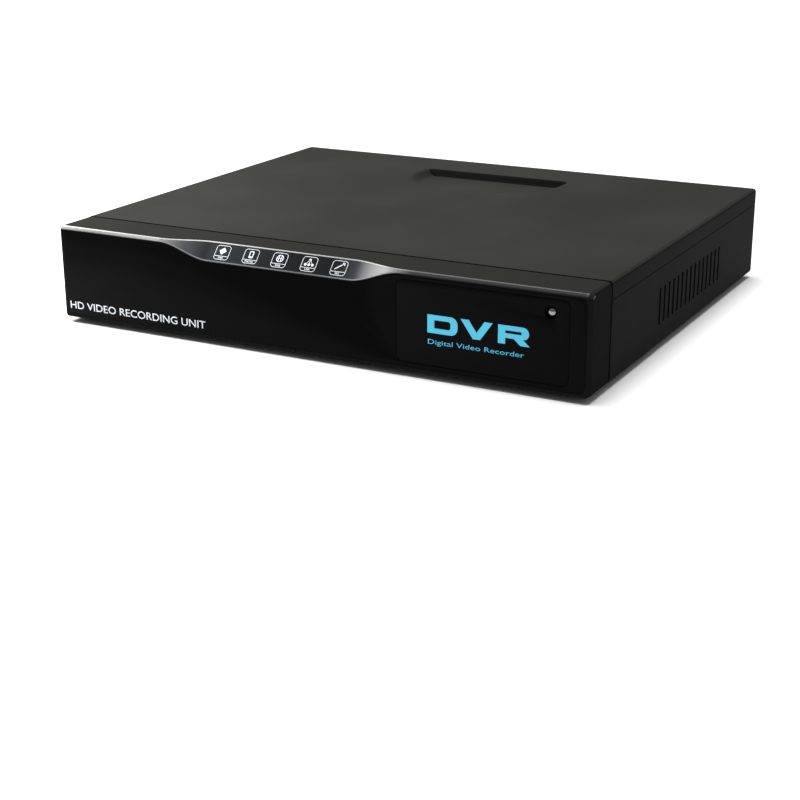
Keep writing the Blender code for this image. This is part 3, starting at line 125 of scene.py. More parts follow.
side_at = Vector((-0.26, -0.10, 0.20))
bpy.ops.object.light_add(type="AREA", location=side_at)
side_light = bpy.context.object
side_light.name = "side_light"
side_light.data.shape = "RECTANGLE"
side_light.data.size, side_light.data.size_y = 0.2, 0.15
side_light.data.energy = 1.3
side_light.visible_camera = False
side_light.rotation_euler = (-side_at).to_track_quat("-Z", "Y").to_euler()
side_light.select_set(False)

# The surround is white to look at, but it lights the recorder only weakly.
world = bpy.data.worlds.new("surround")
world.use_nodes = True
surround = world.node_tree.nodes["Background"]
surround.inputs["Color"].default_value = rgb("#ffffff")
seen = node(world.node_tree, "LightPath").outputs["Is Camera Ray"]
strength = node(world.node_tree, "MapRange", {"Value": seen, "To Min": 0.3, "To Max": 1.0})
world.node_tree.links.new(strength.outputs["Result"], surround.inputs["Strength"])
bpy.context.scene.world = world
bpy.context.scene.view_settings.view_transform = "Standard"

bpy.ops.mesh.primitive_plane_add(size=40.0)
floor = bpy.context.object
floor.name = "floor"
paper, tree, shader, place = material("pale_backdrop_paper", Roughness=0.9)
shader.inputs["Base Color"].default_value = rgb("#f4f4f4")
shader.inputs["Specular IOR Level"].default_value = 0.1
floor.data.materials.append(paper)
floor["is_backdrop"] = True
floor.select_set(False)

# ---- Chassis -----------------------------------------------------------------------------
# Folded 0.8 mm steel, powder coated black after folding. The coat is satin, with a fine
# orange-peel skin. It is darker here than on the cover's top, a painted shade for the upright faces, and light specks
# along the cover's rear fold are a painted highlight.


def finish(piece, *finishes):
    """Puts one or more materials on a piece, in place of any that it has."""
    piece.data.materials.clear()
    for one in finishes:
        piece.data.materials.append(one)


def tie(piece, body, slot, *nodes):
    """Ties a new piece to a body and hides the nodes it stands for. The slot is not used."""
    piece.select_set(False)
    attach(piece, body)
    if nodes:
        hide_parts(*nodes)


def powder_coat(name, light, dark, rough, level=0.005, fold_highlight=None):
    """Powder coat: grains about 0.5 mm apart, under broad drifts some 60 mm across. The last
    argument is a height and a depth, in metres, past both of which light specks are painted on, a painted highlight
    along a fold's edge."""
    made, tree, shader, place = material(name, Specular_IOR_Level=level)
    grain = node(tree, "TexNoise", {"Vector": place, "Scale": 1 / (0.55 * MM), "Detail": 3.0})
    drift = node(tree, "TexNoise", {"Vector": place, "Scale": 1 / (60 * MM), "Detail": 2.0})
    tone = node(tree, "ValToRGB", {"Fac": drift.outputs["Fac"]})
    tone.color_ramp.elements[0].position, tone.color_ramp.elements[1].position = 0.35, 0.65
    tone.color_ramp.elements[0].color, tone.color_ramp.elements[1].color = rgb(dark), rgb(light)
    speck = node(tree, "MapRange", {"Value": grain.outputs["Fac"], "From Min": 0.3,
                                    "From Max": 0.7, "To Min": rough - 0.06, "To Max": rough + 0.06})
    peel = node(tree, "Bump", {"Height": grain.outputs["Fac"], "Strength": 0.25,
                               "Distance": 0.02 * MM})
    colour = tone.outputs["Color"]
    # Painted highlight: light grey specks past the given height and depth, along the fold's edge.
    if fold_highlight:
        split = node(tree, "SeparateXYZ", {"Vector": place})
        edge = [node(tree, "Math", {0: split.outputs[axis], 1: limit}, operation="GREATER_THAN")
                for axis, limit in zip("ZY", fold_highlight)]
        spots = node(tree, "TexNoise", {"Vector": place, "Scale": 1 / (1.1 * MM), "Detail": 3.0})
        highlight_specks = node(tree, "MapRange", {"Value": spots.outputs["Fac"], "From Min": 0.53,
                                       "From Max": 0.62})
        both = node(tree, "Math", {0: edge[0].outputs[0], 1: edge[1].outputs[0]}, operation="MULTIPLY")
        shown = node(tree, "Math", {0: both.outputs[0], 1: highlight_specks.outputs["Result"]}, operation="MULTIPLY")
        blend = node(tree, "Mix", {"Factor": shown.outputs[0], 6: colour, 7: rgb("#747674")},
                     data_type="RGBA")
        colour = blend.outputs[2]
    tree.links.new(colour, shader.inputs["Base Color"])
    tree.links.new(speck.outputs["Result"], shader.inputs["Roughness"])
    tree.links.new(peel.outputs["Normal"], shader.inputs["Normal"])
    return made


# A darker copy of the cover's coat: a painted shade for the upright faces of the case.
black_coat_painted_shade = powder_coat("black_powder_coat_painted_shade", "#181818", "#141414", 0.46)
finish(NODES["chassis"], black_coat_painted_shade)

# ---- Feet --------------------------------------------------------------------------------
# Four moulded rubber discs stuck under the chassis. Rubber is dull and picks up pale dust.
rubber, tree, shader, place = material("moulded_rubber", Specular_IOR_Level=0.3)
dust = node(tree, "TexNoise", {"Vector": place, "Scale": 1 / (1.2 * MM), "Detail": 4.0})
tone = node(tree, "ValToRGB", {"Fac": dust.outputs["Fac"]})
tone.color_ramp.elements[0].color, tone.color_ramp.elements[1].color = rgb("#0d0d0d"), rgb("#1c1b1a")
peel = node(tree, "Bump", {"Height": dust.outputs["Fac"], "Strength": 0.3, "Distance": 0.05 * MM})
tree.links.new(tone.outputs["Color"], shader.inputs["Base Color"])
tree.links.new(peel.outputs["Normal"], shader.inputs["Normal"])
shader.inputs["Roughness"].default_value = 0.85
for corner in ("front_left", "front_right", "rear_left", "rear_right"):
    finish(NODES["foot_" + corner], rubber)

# ---- Boards, heatsink and coin cell --------------------------------------------------------
# Glass-fibre boards under green solder resist, with black and grey parts standing on them.
# The heatsink is extruded aluminium with drawing lines along its fins.


def board_finish(name, axis, surface):
    """Solder resist with copper tracks 1.6 mm apart; what stands above the surface is black."""
    made, tree, shader, place = material(name, Roughness=0.4, Specular_IOR_Level=0.5)
    split = node(tree, "SeparateXYZ", {"Vector": place})
    tracks = node(tree, "TexBrick", {"Vector": place, "Scale": 1.0, "Mortar Size": 0.12 * MM,
                                     "Brick Width": 9 * MM, "Row Height": 1.6 * MM,
                                     "Color1": rgb("#1b5c35"), "Color2": rgb("#174f2e"),
                                     "Mortar": rgb("#3f8f57")})
    above = node(tree, "Math", {0: split.outputs[axis], 1: surface}, operation="GREATER_THAN")
    grain = node(tree, "TexNoise", {"Vector": place, "Scale": 1 / (7 * MM), "Detail": 1.0})
    parts = node(tree, "ValToRGB", {"Fac": grain.outputs["Fac"]})
    parts.color_ramp.elements[0].color = rgb("#161617")
    parts.color_ramp.elements[1].color = rgb("#3c3d40")
    tone = node(tree, "Mix", {"Factor": above.outputs[0], 6: tracks.outputs["Color"],
                              7: parts.outputs["Color"]}, data_type="RGBA")
    relief = node(tree, "Bump", {"Height": tracks.outputs["Fac"], "Strength": 0.4,
                                 "Distance": 0.05 * MM}, invert=True)
    tree.links.new(tone.outputs[2], shader.inputs["Base Color"])
    tree.links.new(relief.outputs["Normal"], shader.inputs["Normal"])
    return made


PANEL_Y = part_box("rear_panel")[1].y
finish(NODES["main_board"], board_finish("main_board_resist", "Z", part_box("video_block_left")[0].z - 0.2 * MM))
finish(NODES["front_board"], board_finish("front_board_resist", "Z", 1.0))


def drawn_metal(name, code, rough, along, pitch, metallic=1.0):
    """Metal with fine lines: stretch is large along the lines and the pitch is across them."""
    made, tree, shader, place = material(name, Metallic=metallic)
    scale = [1 / pitch] * 3
    scale["XYZ".index(along)] = 1 / (60 * pitch)
    lines = node(tree, "Mapping", {"Vector": place, "Scale": scale})
    streak = node(tree, "TexNoise", {"Vector": lines.outputs["Vector"], "Scale": 1.0, "Detail": 3.0})
    tone = node(tree, "ValToRGB", {"Fac": streak.outputs["Fac"]})
    base = rgb(code)
    tone.color_ramp.elements[0].color = (*[c * 0.8 for c in base[:3]], 1)
    tone.color_ramp.elements[1].color = base
    shine = node(tree, "MapRange", {"Value": streak.outputs["Fac"], "To Min": rough - 0.08,
                                    "To Max": rough + 0.1})
    relief = node(tree, "Bump", {"Height": streak.outputs["Fac"], "Strength": 0.2,
                                 "Distance": 0.01 * MM})
    tree.links.new(tone.outputs["Color"], shader.inputs["Base Color"])
    tree.links.new(shine.outputs["Result"], shader.inputs["Roughness"])
    tree.links.new(relief.outputs["Normal"], shader.inputs["Normal"])
    return made


finish(NODES["heatsink"], drawn_metal("extruded_aluminium", "#c9cbcd", 0.4, "Y", 0.15 * MM))
finish(NODES["coin_cell"], drawn_metal("stamped_steel_can", "#c8c6c0", 0.3, "X", 0.1 * MM))

# ---- Hard disk and its cables --------------------------------------------------------------
# A cast aluminium tray with a pressed lid, a mirror-smooth platter and a stamped arm. The data
# cable has a red sheath and the front board's flat cable is grey.
cast = powder_coat("cast_aluminium", "#b9bbbd", "#9d9fa1", 0.5, 0.5)
cast.node_tree.nodes["Principled BSDF"].inputs["Metallic"].default_value = 0.9
finish(NODES["disk_base"], cast)
finish(NODES["disk_cover"], drawn_metal("rolled_steel_lid", "#c5c7c9", 0.28, "X", 0.2 * MM))
finish(NODES["disk_platter"], drawn_metal("sputtered_disk", "#8f8b88", 0.1, "Z", 0.3 * MM))
finish(NODES["disk_arm"], drawn_metal("stamped_aluminium_arm", "#c4c6c8", 0.3, "Y", 0.2 * MM))


def moulded(name, light, dark, rough, grit=0.4 * MM, bump=0.15, **fixed):
    """Moulded plastic: a faint mottle in the colour and the skin that the mould leaves."""
    made, tree, shader, place = material(name, **fixed)
    skin = node(tree, "TexNoise", {"Vector": place, "Scale": 1 / grit, "Detail": 2.0})
    flow = node(tree, "TexNoise", {"Vector": place, "Scale": 1 / (18 * MM), "Detail": 2.0})
    tone = node(tree, "ValToRGB", {"Fac": flow.outputs["Fac"]})
    tone.color_ramp.elements[0].color, tone.color_ramp.elements[1].color = rgb(dark), rgb(light)
    shine = node(tree, "MapRange", {"Value": skin.outputs["Fac"], "To Min": rough - 0.05,
                                    "To Max": rough + 0.05})
    relief = node(tree, "Bump", {"Height": skin.outputs["Fac"], "Strength": bump,
                                 "Distance": 0.02 * MM})
    tree.links.new(tone.outputs["Color"], shader.inputs["Base Color"])
    tree.links.new(shine.outputs["Result"], shader.inputs["Roughness"])
    tree.links.new(relief.outputs["Normal"], shader.inputs["Normal"])
    return made


finish(NODES["drive_cable"], moulded("red_cable_sheath", "#b3261e", "#8f1a14", 0.4))
finish(NODES["front_cable"], moulded("grey_ribbon_sheath", "#b9b9b7", "#a3a3a1", 0.45))

# ---- Rear panel --------------------------------------------------------------------------
# A flat steel panel, punched for its sockets and painted satin light grey. Round and
# rectangular blanks are scored almost through, and a small bridge holds each at its top.
grey_paint = powder_coat("grey_satin_paint", "#a9abb2", "#a2a4ab", 0.5, 0.3)
finish(NODES["rear_panel"], grey_paint)

# ---- Printing on the rear panel ------------------------------------------------------------
# Black ink, screen printed in one pass: lines round the groups of sockets, their names and
# their numbers. A print stands a few hundredths of a millimetre proud of the paint.
INK_T = 0.04
REAR_WAY = Matrix.Translation((0, PANEL_Y, 0)) @ Matrix.Rotation(math.pi, 4, "Z")
REAR_WAY = REAR_WAY @ Matrix.Rotation(math.pi / 2, 4, "X") @ Matrix.Scale(MM, 4)


def flat_text(body, x, y, height, width=None, align="CENTER", bold=0.0, turn=0.0):
    """Lettering drawn flat, in mm: capitals of that height, stretched to a width if given."""
    bpy.ops.object.text_add()
    piece = bpy.context.object
    piece.data.body, piece.data.align_x = body, align
    piece.data.size, piece.data.offset = height / 0.7, bold
    piece.data.resolution_u = 4
    bpy.ops.object.convert(target="MESH")
    span = piece.dimensions.x
    stretch = width / span if width else 1.0
    move = Matrix.Translation((x, y, 0)) @ Matrix.Rotation(math.radians(turn), 4, "Z")
    move = move @ Matrix.Diagonal((stretch, 1, 1, 1)) @ Matrix.Translation((0, -height / 2, 0))
    piece.data.transform(move)
    return piece


def flat_plate(x, y, w, h, corner=0.0, line=0.0, turn=0.0):
    """A flat rectangle, in mm, with round corners. With a line width it is only an outline."""
    bpy.ops.mesh.primitive_plane_add(size=1)
    piece = bpy.context.object
    piece.data.transform(Matrix.Diagonal((w, h, 1, 1)))
    bpy.ops.object.mode_set(mode="EDIT")
    if corner:
        bpy.ops.mesh.bevel(offset=corner, segments=6, affect="VERTICES")
    if line:
        bpy.ops.mesh.inset(thickness=line)
        bpy.ops.mesh.delete(type="FACE")
    bpy.ops.object.mode_set(mode="OBJECT")
    move = Matrix.Translation((x, y, 0)) @ Matrix.Rotation(math.radians(turn), 4, "Z")
    piece.data.transform(move)
    return piece


def flat_disc(x, y, radius, line=0.0, sides=32):
    """A flat disc, in mm, or with a line width a ring."""
    bpy.ops.mesh.primitive_circle_add(vertices=sides, radius=radius, fill_type="NGON")
    piece = bpy.context.object
    if line:
        bpy.ops.object.mode_set(mode="EDIT")
        bpy.ops.mesh.inset(thickness=line)
        bpy.ops.mesh.delete(type="FACE")
        bpy.ops.object.mode_set(mode="OBJECT")
    piece.data.transform(Matrix.Translation((x, y, 0)))
    return piece


def flat_bar(x0, y0, x1, y1, width):
    """A straight printed line between two points, in mm."""
    run = Vector((x1 - x0, y1 - y0))
    turn = math.degrees(math.atan2(run.y, run.x))
    return flat_plate((x0 + x1) / 2, (y0 + y1) / 2, run.length, width, turn=turn)


def join(name, pieces):
    """Joins several pieces into one object, which keeps the first one's place."""
    bpy.ops.object.select_all(action="DESELECT")
    for piece in pieces:
        piece.select_set(True)
    bpy.context.view_layer.objects.active = pieces[0]
    if len(pieces) > 1:
        bpy.ops.object.join()
    joined = bpy.context.object
    joined.name = joined.data.name = name
    return joined


def printed(name, drawings, way, thickness=INK_T):
    """Makes flat drawings one solid print of that thickness, in mm, and lays it in place."""
    piece = join(name, drawings)
    bpy.ops.object.mode_set(mode="EDIT")
    bpy.ops.mesh.select_all(action="SELECT")
    bpy.ops.mesh.dissolve_degenerate(threshold=0.005)
    bpy.ops.object.mode_set(mode="OBJECT")
    solid = piece.modifiers.new("thickness", "SOLIDIFY")
    solid.thickness, solid.offset = thickness, 1.0
    bpy.ops.object.modifier_apply(modifier=solid.name)
    piece.data.transform(way)
    return piece


def ink(name, code, rough=0.5):
    """Screen ink, slightly uneven where the mesh of the screen left it thinner."""
    made, tree, shader, place = material(name, Specular_IOR_Level=0.35)
    weave = node(tree, "TexNoise", {"Vector": place, "Scale": 1 / (0.35 * MM), "Detail": 2.0})
    tone = node(tree, "ValToRGB", {"Fac": weave.outputs["Fac"]})
    base = rgb(code)
    tone.color_ramp.elements[0].position, tone.color_ramp.elements[1].position = 0.3, 0.6
    tone.color_ramp.elements[0].color = (*[c * 0.86 for c in base[:3]], 1)
    tone.color_ramp.elements[1].color = base
    relief = node(tree, "Bump", {"Height": weave.outputs["Fac"], "Strength": 0.1,
                                 "Distance": 0.01 * MM})
    tree.links.new(tone.outputs["Color"], shader.inputs["Base Color"])
    tree.links.new(relief.outputs["Normal"], shader.inputs["Normal"])
    shader.inputs["Roughness"].default_value = rough
    return made


def middle(name):
    """A node's centre across the rear, as (x, z) in mm; x runs the way a reader sees it."""
    low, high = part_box(name)
    return -(low.x + high.x) / 2 / MM, (low.z + high.z) / 2 / MM


def framed(x0, x1, y0, y1, gap=None):
    """The line round a group of sockets, broken at its top where the group's name stands."""
    ring = flat_plate((x0 + x1) / 2, (y0 + y1) / 2, x1 - x0, y1 - y0, corner=2.3, line=0.38)
    if gap:
        bpy.ops.object.mode_set(mode="EDIT")
        for cut_at in gap:
            bpy.ops.mesh.select_all(action="SELECT")
            bpy.ops.mesh.bisect(plane_co=(cut_at, 0, 0), plane_no=(1, 0, 0))
        bpy.ops.mesh.select_all(action="DESELECT")
        bpy.ops.object.mode_set(mode="OBJECT")
        for face in ring.data.polygons:
            face.select = gap[0] < face.center.x < gap[1] and face.center.y > (y0 + y1) / 2
        bpy.ops.object.mode_set(mode="EDIT")
        bpy.ops.mesh.delete(type="FACE")
        bpy.ops.object.mode_set(mode="OBJECT")
    return ring


LABEL_H = 2.0
NUMBER_H = 2.2
HEAVY = 0.035
jacks = [middle(f"video_shell_{n}") for n in (1, 2, 3, 4)]
audio = [middle(f"audio_in_shell_{n}") for n in (1, 2, 3, 4)]
spare_x = (-53.5, -72.0)
drawings = [framed(-81.1, -2.3, 7.9, 39.0, (-49.6, -34.6))]
drawings.append(flat_text("VIDEO   IN", -42.0, 39.0, LABEL_H, 13.2, bold=HEAVY))
for number, (x, y) in zip((1, 2, 3, 4), jacks):
    drawings.append(flat_text(str(number), x - 9.2, y, NUMBER_H, bold=HEAVY))
for number, x, y in ((5, spare_x[0], jacks[0][1]), (6, spare_x[0], jacks[1][1]),
                     (7, spare_x[1], jacks[0][1]), (8, spare_x[1], jacks[1][1])):
    drawings.append(flat_text(str(number), x - 9.5, y, NUMBER_H, bold=HEAVY))
out_x, out_y = middle("audio_out_shell")
drawings.append(flat_text("VIDEO  OUT", out_x, 39.0, LABEL_H, 14.8, bold=HEAVY))
drawings.append(flat_text("AUDIO  OUT", out_x, 7.3, LABEL_H, 15.0, bold=HEAVY))
vga_x, vga_y = middle("vga_insert")
drawings.append(flat_text("MONITOR", vga_x, 24.3, LABEL_H, 9.6, bold=HEAVY))
hd_x, hd_y = middle("hdmi_shell")
drawings.append(flat_text("HD OUTPUT", hd_x, 7.3, LABEL_H, 14.8, bold=HEAVY))
drawings.append(framed(48.1, 75.9, 8.7, 36.5))
drawings.append(flat_text("AUDIO   IN", 62.9, 38.1, LABEL_H, 13.2, bold=HEAVY))
for number, name in ((1, 1), (2, 2), (3, 3), (4, 4)):
    x, y = audio[name - 1]
    drawings.append(flat_text(str(number), x - 8.0, y, LABEL_H, bold=HEAVY))
drawings.append(flat_text("LAN", 99.9, 36.7, LABEL_H, 4.8, bold=HEAVY))
drawings.append(flat_text("Power", 108.6, 35.0, LABEL_H, 7.2, bold=HEAVY))
drawings.append(flat_text("ON", 99.4, 28.3, LABEL_H, 3.8, bold=HEAVY))
drawings.append(flat_text("OFF", 119.9, 28.3, LABEL_H, 4.8, bold=HEAVY))
drawings.append(flat_text("DC 12V", 112.6, 7.4, LABEL_H, 7.6, bold=HEAVY))
drawings.append(flat_text("AUDIO IN 5-8", -97.9, 36.8, NUMBER_H, 16.6, bold=HEAVY))

# Polarity, mouse and earth signs, and the legend under the alarm blank.
for x, filled in ((108.9, False), (111.9, True), (114.9, False)):
    drawings.append(flat_disc(x, 21.7, 0.75, line=0.25))
    if filled:
        drawings.append(flat_disc(x, 21.7, 0.3))
drawings.append(flat_bar(109.7, 21.7, 111.1, 21.7, 0.25))
drawings.append(flat_bar(112.7, 21.7, 114.1, 21.7, 0.25))
drawings.append(flat_plate(83.0, 7.6, 2.4, 1.7, corner=0.7, line=0.25))
drawings.append(flat_bar(81.0, 8.1, 81.8, 7.8, 0.25))
drawings.append(flat_text("/ USB", 88.3, 7.5, LABEL_H, 6.6, bold=HEAVY))
earth_x, earth_y = -113.4, 13.3
drawings.append(flat_disc(earth_x, earth_y, 1.95, line=0.25))
drawings.append(flat_bar(earth_x, earth_y + 1.5, earth_x, earth_y + 0.1, 0.25))
for drop, half in ((0.1, 1.1), (-0.5, 0.7), (-1.1, 0.35)):
    drawings.append(flat_bar(earth_x - half, earth_y + drop, earth_x + half, earth_y + drop, 0.25))
drawings.append(flat_plate(-96.3, 7.6, 18.8, 2.8, line=0.3))
for i, word in enumerate("4 3 2 1 G C NO".split()):
    drawings.append(flat_text(word, -104.0 + 2.6 * i, 7.6, 1.4, bold=0.03))
drawings.append(flat_plate(-108.4, 16.2, 2.75, 13.3))
panel_print = printed("rear_printing", drawings, REAR_WAY)
finish(panel_print, ink("black_screen_ink", "#131417"))
tie(panel_print, "recorder", "gloss_black")

LIFTED = Matrix.Translation((0, INK_T * MM, 0)) @ REAR_WAY
alarm_word = printed("alarm_word", [flat_text("ALARM", -108.4, 16.2, 1.8, 11.6, turn=-90)], LIFTED, 0.03)
finish(alarm_word, ink("white_screen_ink", "#dfe0e4"))
tie(alarm_word, "recorder", "white_plastic")

# ---- Serial label --------------------------------------------------------------------------
# A white paper label, stuck on slightly askew, with a row of plain bars and a row of zeros.
LABEL_AT, LABEL_TURN = (-97.0, 29.3), -3.5
label_way = REAR_WAY @ Matrix.Translation((*LABEL_AT, INK_T))
label_way = label_way @ Matrix.Rotation(math.radians(LABEL_TURN), 4, "Z")
label = printed("serial_label", [flat_plate(0, 0, 30.0, 12.6, corner=1.1)], label_way, 0.1)
paper, tree, shader, place = material("label_paper", Roughness=0.55)
fibre = node(tree, "TexNoise", {"Vector": place, "Scale": 1 / (0.3 * MM), "Detail": 4.0})
tone = node(tree, "ValToRGB", {"Fac": fibre.outputs["Fac"]})
tone.color_ramp.elements[0].color, tone.color_ramp.elements[1].color = rgb("#c9cacc"), rgb("#d9dadc")
relief = node(tree, "Bump", {"Height": fibre.outputs["Fac"], "Strength": 0.2, "Distance": 0.02 * MM})
tree.links.new(tone.outputs["Color"], shader.inputs["Base Color"])
tree.links.new(relief.outputs["Normal"], shader.inputs["Normal"])
finish(label, paper)
tie(label, "recorder", "white_plastic")
widths = random.Random(11)
bars, x = [], -13.4
while x < 13.2:
    wide = widths.choice((0.22, 0.22, 0.42, 0.62))
    bars.append(flat_plate(x + wide / 2, 1.6, wide, 5.4))
    x += wide + widths.choice((0.25, 0.25, 0.4, 0.6))
bars.append(flat_text("0000 0000 0000", 0, -4.0, 1.6, 22.0))
bars = printed("label_bars", bars, label_way @ Matrix.Translation((0, 0, 0.1)), 0.02)
finish(bars, ink("label_ink", "#26262a"))
tie(bars, "recorder", "gloss_black")

# ---- Bayonet video jacks -------------------------------------------------------------------
# Die-cast zinc shells, turned and nickel plated, with two bayonet lugs, over ivory noses that
# belong to the block behind. A dished flange fills the round hole in the panel.


def turned(name, profile, centre, steps=48):
    """Spins a closed outline of (radius, depth), in mm, about the Y axis through a point."""
    outline = [(Vector(centre) + Vector((0, y * MM, r * MM))) for r, y in profile]
    mesh = bpy.data.meshes.new(name)
    count = len(outline)
    edges = [(i, (i + 1) % count) for i in range(count)]
    if profile[0][0] == 0 and profile[-1][0] == 0:
        edges.pop()
    mesh.from_pydata(outline, edges, [])
    piece = bpy.data.objects.new(name, mesh)
    bpy.context.scene.collection.objects.link(piece)
    bpy.ops.object.select_all(action="DESELECT")
    piece.select_set(True)
    bpy.context.view_layer.objects.active = piece
    bpy.ops.object.mode_set(mode="EDIT")
    bpy.ops.mesh.select_all(action="SELECT")
    bpy.ops.mesh.spin(steps=steps, angle=math.tau, center=centre, axis=(0, 1, 0))
    bpy.ops.mesh.select_all(action="SELECT")
    bpy.ops.mesh.remove_doubles(threshold=0.002 * MM)
    bpy.ops.mesh.normals_make_consistent(inside=False)
    bpy.ops.object.mode_set(mode="OBJECT")
    bpy.ops.object.shade_smooth_by_angle(angle=math.radians(35))
    return piece


def block(name, low, high, bevel=0.3):
    """A box between two corners, in metres, with its edges rounded by a width in mm."""
    bpy.ops.mesh.primitive_cube_add(size=1)
    piece = bpy.context.object
    size = Vector(high) - Vector(low)
    piece.data.transform(Matrix.Translation((Vector(low) + Vector(high)) / 2) @ Matrix.Diagonal((*size, 1)))
    bpy.ops.object.mode_set(mode="EDIT")
    bpy.ops.mesh.bevel(offset=bevel * MM, segments=3)
    bpy.ops.object.mode_set(mode="OBJECT")
    bpy.ops.object.shade_smooth_by_angle(angle=math.radians(40))
    piece.name = piece.data.name = name
    return piece


def plated(name, code, shade, rough):
    """Plating: bright, with turning marks 0.25 mm apart and a brownish cast in patches some 3.5 mm across."""
    made, tree, shader, place = material(name, Metallic=1.0)
    marks = node(tree, "TexWave", {"Vector": place, "Scale": 0.3 / (0.25 * MM), "Distortion": 1.5,
                                   "Detail": 1.0}, bands_direction="Y")
    stain = node(tree, "TexNoise", {"Vector": place, "Scale": 1 / (3.5 * MM), "Detail": 3.0})
    tone = node(tree, "ValToRGB", {"Fac": stain.outputs["Fac"]})
    tone.color_ramp.elements[0].position, tone.color_ramp.elements[1].position = 0.35, 0.65
    tone.color_ramp.elements[0].color, tone.color_ramp.elements[1].color = rgb(shade), rgb(code)
    shine = node(tree, "MapRange", {"Value": stain.outputs["Fac"], "To Min": rough + 0.08,
                                    "To Max": rough - 0.05})
    relief = node(tree, "Bump", {"Height": marks.outputs["Fac"], "Strength": 0.08,
                                 "Distance": 0.01 * MM})
    tree.links.new(tone.outputs["Color"], shader.inputs["Base Color"])
    tree.links.new(shine.outputs["Result"], shader.inputs["Roughness"])
    tree.links.new(relief.outputs["Normal"], shader.inputs["Normal"])
    return made


warm_nickel = plated("warm_nickel_plate", "#cdc2ba", "#9a897f", 0.24)
bright_nickel = plated("bright_nickel_plate", "#c9c6c1", "#96928b", 0.22)
ivory = moulded("ivory_insulator", "#d3c9ba", "#c2b7a6", 0.4)
# Near-black plastic for the jacks' bores: a painted shade for the holes.
bore_painted_shade = moulded("black_bore_painted_shade", "#0c0b0b", "#080808", 0.6)


def seat(name):
    """A rear jack's centre on the panel's outer face, in metres."""
    low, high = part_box(name)
    return Vector(((low.x + high.x) / 2, PANEL_Y, (low.z + high.z) / 2))


SHELL_TIP = (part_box("video_shell_1")[1].y - PANEL_Y) / MM
VIDEO_SHELL = [(6.4, -1.6), (6.4, 0.55), (6.25, 0.8), (6.0, 0.85), (5.75, 0.7), (5.1, 0.25),
               (4.85, 0.3), (4.85, 2.0), (4.7, 2.2), (4.7, 2.9), (4.85, 3.1),
               (4.85, SHELL_TIP - 0.5), (4.75, SHELL_TIP - 0.15), (4.5, SHELL_TIP),
               (4.25, SHELL_TIP - 0.05), (4.15, SHELL_TIP - 0.3), (4.15, 0.6), (3.0, 0.6), (3.0, -1.6)]
for number in (1, 2, 3, 4):
    at = seat(f"video_shell_{number}")
    shell = turned("shell", VIDEO_SHELL, at)
    lugs = []
    for side in (-1, 1):
        bpy.ops.mesh.primitive_cylinder_add(vertices=20, radius=0.95 * MM, depth=1.2 * MM)
        lug = bpy.context.object
        bpy.ops.object.mode_set(mode="EDIT")
        bpy.ops.mesh.bevel(offset=0.18 * MM, segments=2)
        bpy.ops.object.mode_set(mode="OBJECT")
        turn = Matrix.Rotation(math.pi / 2, 4, "Y")
        lug.data.transform(Matrix.Translation(at + Vector((side * 4.95, SHELL_TIP - 4.2, 0)) * MM) @ turn)
        lugs.append(lug)
    shell = join(f"bayonet_shell_{number}", [shell, *lugs])
    bpy.ops.object.shade_smooth_by_angle(angle=math.radians(35))
    finish(shell, warm_nickel)
    tie(shell, "recorder", "nickel", f"video_shell_{number}")

NOSE = [(0, -4.0), (2.7, -4.0), (2.7, 3.1), (2.55, 3.4), (2.25, 3.6), (2.2, 7.0), (2.0, 7.35),
        (1.7, 7.4), (1.0, 7.4), (0.88, 7.25), (0.88, 2.0), (0, 2.0)]
for side, upper, lower in (("right", 1, 2), ("left", 3, 4)):
    low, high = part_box("video_block_" + side)
    body = block("body", low, (high.x, PANEL_Y - 3.2 * MM, high.z), 0.5)
    noses = [turned("nose", NOSE, seat(f"video_shell_{n}"), 32) for n in (upper, lower)]
    piece = join("video_block_moulding_" + side, [body, *noses])
    finish(piece, ivory)
    tie(piece, "recorder", "ivory_plastic", "video_block_" + side)
    # A dark plug fills each nose's bore: a painted shade for the hole.
    for n in (upper, lower):
        socket = turned(f"video_bore_painted_shade_{n}", [(0, 2.1), (0.84, 2.1), (0.84, 7.0), (0.6, 7.0), (0.45, 5.0),
                                               (0, 5.0)], seat(f"video_shell_{n}"), 16)
        finish(socket, bore_painted_shade)
        tie(socket, "recorder", "black_plastic")

# ---- Phono jacks ---------------------------------------------------------------------------
# Rolled brass sleeves, nickel plated, over noses of ivory, white or red plastic. Four of them
# share one black housing, and the output has the same dished flange as the video jacks.
white_nose = moulded("white_insulator", "#cfcfcc", "#c0c0bc", 0.35)
red_nose = moulded("red_insulator", "#b5382c", "#9c2a20", 0.35)
# Dark red for the bottoms of the phono bores: a painted shade.
maroon_painted_shade = moulded("maroon_bore_painted_shade", "#3a0f0c", "#240908", 0.5)
OUT_TIP = (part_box("audio_out_shell")[1].y - PANEL_Y) / MM
OUT_SHELL = [(6.4, -1.6), (6.4, 0.6), (6.2, 0.85), (5.95, 0.85), (4.6, 0.25), (4.4, 0.5), (4.2, 1.2),
             (4.15, OUT_TIP - 0.5), (4.0, OUT_TIP - 0.1), (3.8, OUT_TIP), (3.6, OUT_TIP - 0.1),
             (3.55, OUT_TIP - 0.4), (3.55, -1.6)]
OUT_NOSE = [(0, -4.0), (3.2, -4.0), (3.2, OUT_TIP - 0.7), (3.0, OUT_TIP - 0.4), (1.95, OUT_TIP - 0.4),
            (1.8, OUT_TIP - 0.6), (1.8, OUT_TIP - 6.0), (0, OUT_TIP - 6.0)]
at = seat("audio_out_shell")
shell = turned("phono_out_sleeve", OUT_SHELL, at)
finish(shell, warm_nickel)
tie(shell, "recorder", "nickel", "audio_out_shell")
low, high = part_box("audio_out_insulator")
body = block("body", low, (high.x, PANEL_Y - 3.2 * MM, high.z), 0.5)
piece = join("phono_out_insulator", [body, turned("nose", OUT_NOSE, at, 32)])
